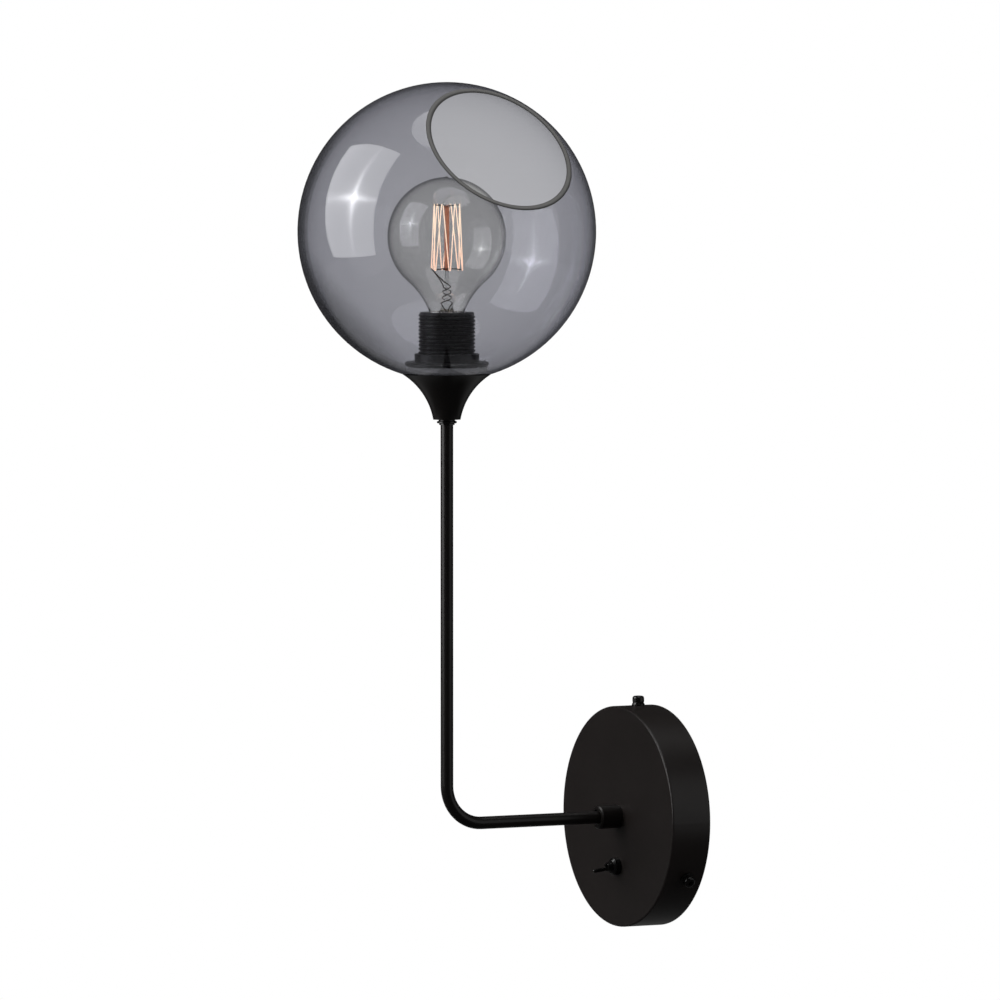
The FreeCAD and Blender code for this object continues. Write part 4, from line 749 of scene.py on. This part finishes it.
def filament():
    """One wire that rises and falls between six peaks, round at every hook."""
    centre, foot, top, wide, narrow = cage_sizes()
    step = 360 / FILAMENT_PEAKS
    sway = random.Random(7)
    hooks = ((-0.5, wide, foot, CAGE_HOOK_RISE), (0, narrow, top, -CAGE_HOOK_RISE))
    route = []
    for peak in range(FILAMENT_PEAKS):
        for shift, radius, end, inner in hooks:
            angle = (peak + 0.25 + shift) * step + FILAMENT_TURN
            half = math.degrees(FILAMENT_HOOK / radius)
            lean = sway.uniform(-1.0, 1.0) * half
            drift = sway.uniform(-0.15, 0.15) * MM
            for share, height in ((-1, end + inner), (-0.6, end), (0.6, end), (1, end + inner)):
                route.append(cage_point(centre, radius + drift, angle + share * half + lean, height))
    last = (FILAMENT_PEAKS - 0.25) * step + FILAMENT_TURN - 2 * math.degrees(2 * FILAMENT_HOOK / wide)
    route.append(cage_point(centre, wide, last, foot))
    piece = wire_piece("glowing_filament", [route[3:]], FILAMENT_RADIUS, GLOW, "bulb")
    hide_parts("bulb_filament")
    return route[3], route[-1]


def supports(first_end, last_end):
    """Hook wires at the cage's top and foot, and the two leads down to the stem's press."""
    centre, foot, top, wide, narrow = cage_sizes()
    step = 360 / FILAMENT_PEAKS
    rod = HOOK_ROOT
    routes = []
    for peak in range(FILAMENT_PEAKS):
        angle = (peak + 0.25) * step
        level = top - 0.5 * MM
        routes.append([cage_point(centre, rod, angle, level - 0.6 * MM),
                       cage_point(centre, 0.55 * narrow, angle, level - 0.1 * MM),
                       cage_point(centre, narrow + 0.1 * MM, angle, level),
                       cage_point(centre, narrow + 0.5 * MM, angle, level + 0.3 * MM),
                       cage_point(centre, narrow + 0.3 * MM, angle, level + 0.5 * MM)])
    for spoke in range(1, FILAMENT_PEAKS):
        angle = (spoke - 0.25) * step + FILAMENT_TURN
        level = foot + 0.5 * MM
        routes.append([cage_point(centre, rod, angle, level + 0.7 * MM),
                       cage_point(centre, 0.6 * wide, angle, level + 0.2 * MM),
                       cage_point(centre, wide, angle, level)])
    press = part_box("bulb_supports")[0].z
    for start, end in ((0, first_end), (180, last_end)):
        coil = [cage_point(centre, LEAD_COIL - LEAD_TAPER * turn + LEAD_SWAY * math.sin(2 * turn),
                           start + LEAD_STEP * turn, press + LEAD_RISE * turn - LEAD_SINK)
                for turn in range(LEAD_COIL_POINTS)]
        routes.append([cage_point(centre, 4.6 * MM, start - 25, press - 8 * MM)] + coil
                      + [cage_point(centre, 0.45 * wide, angle_of(end, centre), press + 14 * MM),
                         end - Vector((0, 0, 0.1 * MM))])
    piece = wire_piece("hook_wires", routes, SUPPORT_RADIUS, SUPPORT, "bulb")
    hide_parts("bulb_supports")


def stem():
    """Glass mount: a flare in the neck, a tube with a rounded press, a rod and its two hubs."""
    low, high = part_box("bulb_stem")
    centre = (low + high) / 2
    flare = (high.x - low.x) / 2
    tube = STEM_TUBE_RADIUS
    rod = STEM_ROD_RADIUS
    tube_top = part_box("bulb_cap")[1].z
    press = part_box("bulb_supports")[0].z
    core = STEM_CORE
    curve = [still(tube + (flare - tube) * (1 - math.sin(math.pi / 2 * step / 8)),
                   low.z + (flare - tube) * (1 - math.cos(math.pi / 2 * step / 8))) for step in range(9)]

    def pressed(share):
        def loop(angle):
            radius = rod + (tube - rod) * math.sqrt(1 - share * share)
            flat = 1 - 0.30 * math.sin(math.pi * share) * abs(math.sin(angle))
            return radius * flat, tube_top + (press - tube_top) * share
        return loop

    body = [still(core, low.z), still(flare, low.z)] + curve + [still(tube, tube_top)]
    body += [pressed(step / 8) for step in range(1, 9)] + [still(core, press)]
    glass = turned("stem_glass", body, centre, 64, STEM_GLASS, "bulb")
    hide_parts("bulb_stem")
    cage_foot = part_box("bulb_filament")[0].z
    joint = cage_foot - 0.4 * MM
    clear = [still(core, press), still(rod, press + 0.2 * MM), still(0.7 * rod, press + 3 * MM),
             still(0.7 * rod, joint - 0.1 * MM), still(core, joint - 0.1 * MM)]
    turned("stem_rod_clear", clear, centre, 40, STEM_GLASS, "bulb")
    # The rod's upper part has the filament's light painted on, as amber colour and glow.
    lit = [still(core, joint), still(0.75 * rod, joint), still(1.05 * rod, joint + 1.4 * MM),
           still(1.05 * rod, high.z - 0.4 * MM), still(0.6 * rod, high.z), still(core, high.z)]
    turned("stem_rod", lit, centre, 40, ROD_PAINTED_GLOW, "bulb")
    # The hubs carry painted filament light as their red-brown colour.
    for name, hub in (("stem_hub_top", high.z - 1.1 * MM), ("stem_hub_foot", cage_foot + 0.6 * MM)):
        hub_loops = [still(1.2 * rod, hub - HUB_HALF), still(1.7 * rod, hub),
                     still(1.2 * rod, hub + HUB_HALF), still(1.12 * rod, hub)]
        turned(name, hub_loops, centre, 32, HUB_PAINTED_FILAMENT_LIGHT, "bulb")


# ---- stage --------------------------------------------------------------------------
def camera():
    """Camera at the photograph's angle."""
    back, right, up = view_axes()
    data = bpy.data.cameras.new("camera")
    data.sensor_width = SENSOR
    data.lens = FOCAL_PIXELS * SENSOR / PHOTO_PIXELS
    data.clip_end = 60
    obj = bpy.data.objects.new("camera", data)
    bpy.context.scene.collection.objects.link(obj)
    aim = VIEW_POINT + right * VIEW_SHIFT_RIGHT + up * VIEW_SHIFT_UP
    obj.location = aim + back * VIEW_DISTANCE
    obj.rotation_mode = "QUATERNION"
    obj.rotation_quaternion = (-back).to_track_quat("-Z", "Y")
    bpy.context.scene.camera = obj


def softbox_material():
    """Even glow with a hot cross, as a lamp behind a cloth gives."""
    material, tree = new_material("softbox")
    parts = node(tree, "ShaderNodeSeparateXYZ", {"Vector": place(tree)})

    def falloff(value, width):
        ratio = math_node(tree, "DIVIDE", value, width)
        square = math_node(tree, "MULTIPLY", ratio, ratio)
        return math_node(tree, "DIVIDE", 1.0, math_node(tree, "ADD", square, 1.0))

    across = falloff(parts.outputs["X"], SOFTBOX_CROSS_WIDTH)
    along = falloff(parts.outputs["Y"], SOFTBOX_CROSS_WIDTH)
    wide_x = falloff(parts.outputs["X"], SOFTBOX_GLOW_WIDTH)
    wide_y = falloff(parts.outputs["Y"], SOFTBOX_GLOW_HEIGHT)
    arms = math_node(tree, "ADD", math_node(tree, "MULTIPLY", across, wide_y),
                     math_node(tree, "MULTIPLY", along, wide_x))
    cross = math_node(tree, "MULTIPLY", arms, SOFTBOX_CROSS / 2)
    glow = node(tree, "ShaderNodeEmission", {"Strength": math_node(tree, "ADD", cross, SOFTBOX_STRENGTH)})
    clear = node(tree, "ShaderNodeBsdfTransparent")
    path = node(tree, "ShaderNodeLightPath")
    unseen = node(tree, "ShaderNodeMixShader", {"Fac": straight_through(tree, path)})
    tree.links.new(glow.outputs[0], unseen.inputs[1])
    tree.links.new(clear.outputs[0], unseen.inputs[2])
    output(tree, unseen.outputs[0])
    return material


def softbox():
    """Large soft light on the camera's left, its corners given as directions from the globe."""
    back, right, up = view_axes()
    centre = middle_of("glass_globe")
    rays = [(right * x + up * y + back * z).normalized() for x, y, z in SOFTBOX_CORNERS + (SOFTBOX_HOT,)]
    facing = sum(rays[:4], Vector()).normalized()
    points = [ray * (SOFTBOX_DISTANCE / ray.dot(facing)) for ray in rays]
    hot = points.pop()
    across = (points[0] - points[1] + points[3] - points[2]).normalized()
    along = facing.cross(across)
    mesh = bpy.data.meshes.new("softbox")
    flat = [((point - hot).dot(across), (point - hot).dot(along), 0) for point in points]
    mesh.from_pydata(flat, [], [(0, 1, 2, 3)])
    mesh.materials.append(softbox_material())
    obj = bpy.data.objects.new("softbox", mesh)
    bpy.context.scene.collection.objects.link(obj)
    turn = Matrix((across, along, facing)).transposed().to_4x4()
    obj.matrix_world = Matrix.Translation(centre + hot) @ turn
    obj.visible_camera = False


def area_light(name, direction, distance, size, power):
    """Round soft light aimed at the middle of the wall lamp."""
    back, right, up = view_axes()
    toward = (right * direction[0] + up * direction[1] + back * direction[2]).normalized()
    low, high = CAD_BOX
    data = bpy.data.lights.new(name, "AREA")
    data.shape = "DISK"
    data.size = size
    data.energy = power
    obj = bpy.data.objects.new(name, data)
    bpy.context.scene.collection.objects.link(obj)
    obj.location = (low + high) / 2 + toward * distance
    obj.rotation_mode = "QUATERNION"
    obj.rotation_quaternion = toward.to_track_quat("Z", "Y")
    obj.visible_camera = False


def floor():
    """Pale floor under the lamp that keeps its shadow and fades into the white."""
    material, tree = new_material("floor")
    path = node(tree, "ShaderNodeLightPath")
    behind = distance_along(tree, (-math.sin(VIEW_AZIMUTH), math.cos(VIEW_AZIMUTH), 0))
    rise = between(tree, behind, FLOOR_SHEEN_FROM, FLOOR_SHEEN_TO, ROOM_GLOSSY, FLOOR_GLOSSY)
    fade = between(tree, behind, FLOOR_FADE_FROM, FLOOR_FADE_TO, 1.0, FLOOR_FADED)
    sheen = math_node(tree, "MULTIPLY", rise, fade)
    seen = choose(tree, path.outputs["Is Glossy Ray"], sheen, 0.0)
    seen = choose(tree, path.outputs["Is Transmission Ray"], REFLECTED_IN_GLASS, seen)
    seen = choose(tree, straight_through(tree, path), BEHIND_GLASS, seen)
    seen = choose(tree, path.outputs["Is Camera Ray"], 1.0, seen)
    pale = node(tree, "ShaderNodeBsdfDiffuse", {
        "Color": two_tone(tree, grain(tree, 3, 4), (0.80, 0.80, 0.80), (0.84, 0.84, 0.84))})
    unlit = node(tree, "ShaderNodeBsdfDiffuse", {"Color": (0.03, 0.03, 0.03, 1)})
    ground = node(tree, "ShaderNodeMixShader", {"Fac": path.outputs["Is Camera Ray"]})
    tree.links.new(unlit.outputs[0], ground.inputs[1])
    tree.links.new(pale.outputs[0], ground.inputs[2])
    lift = node(tree, "ShaderNodeEmission", {"Strength": math_node(tree, "MULTIPLY", seen, FLOOR_NEAR_SHARE)})
    near = node(tree, "ShaderNodeAddShader")
    tree.links.new(ground.outputs[0], near.inputs[0])
    tree.links.new(lift.outputs[0], near.inputs[1])
    white = node(tree, "ShaderNodeEmission", {"Strength": seen})
    distance = node(tree, "ShaderNodeVectorMath", operation="LENGTH")
    tree.links.new(place(tree), distance.inputs[0])
    far = between(tree, distance.outputs["Value"], FLOOR_CLEAR / 2, FLOOR_CLEAR, 0.0, 1.0, "SMOOTHSTEP")
    mix = node(tree, "ShaderNodeMixShader", {"Fac": far})
    tree.links.new(near.outputs[0], mix.inputs[1])
    tree.links.new(white.outputs[0], mix.inputs[2])
    output(tree, mix.outputs[0])
    mesh = bpy.data.meshes.new("floor")
    build = bmesh.new()
    bmesh.ops.create_circle(build, cap_ends=True, radius=FLOOR_RADIUS, segments=96)
    build.to_mesh(mesh)
    build.free()
    mesh.materials.append(material)
    obj = bpy.data.objects.new("floor", mesh)
    bpy.context.scene.collection.objects.link(obj)
    obj.location = (0, middle_of("glass_globe").y, CAD_BOX[0].z - FLOOR_DROP)


def world():
    """White behind the lamp, with dimmer rooms for glass, reflections and soft light."""
    made = bpy.data.worlds.new("room")
    made.use_nodes = True
    tree = made.node_tree
    tree.nodes.clear()
    path = node(tree, "ShaderNodeLightPath")
    level = choose(tree, path.outputs["Is Glossy Ray"], ROOM_GLOSSY, ROOM_DIFFUSE)
    level = choose(tree, path.outputs["Is Transmission Ray"], REFLECTED_IN_GLASS, level)
    level = choose(tree, straight_through(tree, path), BEHIND_GLASS, level)
    level = choose(tree, path.outputs["Is Camera Ray"], 1.0, level)
    shade = node(tree, "ShaderNodeBackground", {"Color": (1, 1, 1, 1), "Strength": level})
    made_output = node(tree, "ShaderNodeOutputWorld")
    tree.links.new(shade.outputs[0], made_output.inputs[0])
    bpy.context.scene.world = made


finish_nodes()
threaded_barrel()
threaded_cap()
threaded_bushing()
ends = filament()
supports(*ends)
stem()
camera()
softbox()
area_light("fill", FILL_DIRECTION, FILL_DISTANCE, FILL_SIZE, FILL_STRENGTH)
area_light("top", TOP_DIRECTION, TOP_DISTANCE, TOP_SIZE, TOP_STRENGTH)
floor()
world()
bpy.context.scene.view_settings.view_transform = "Standard"
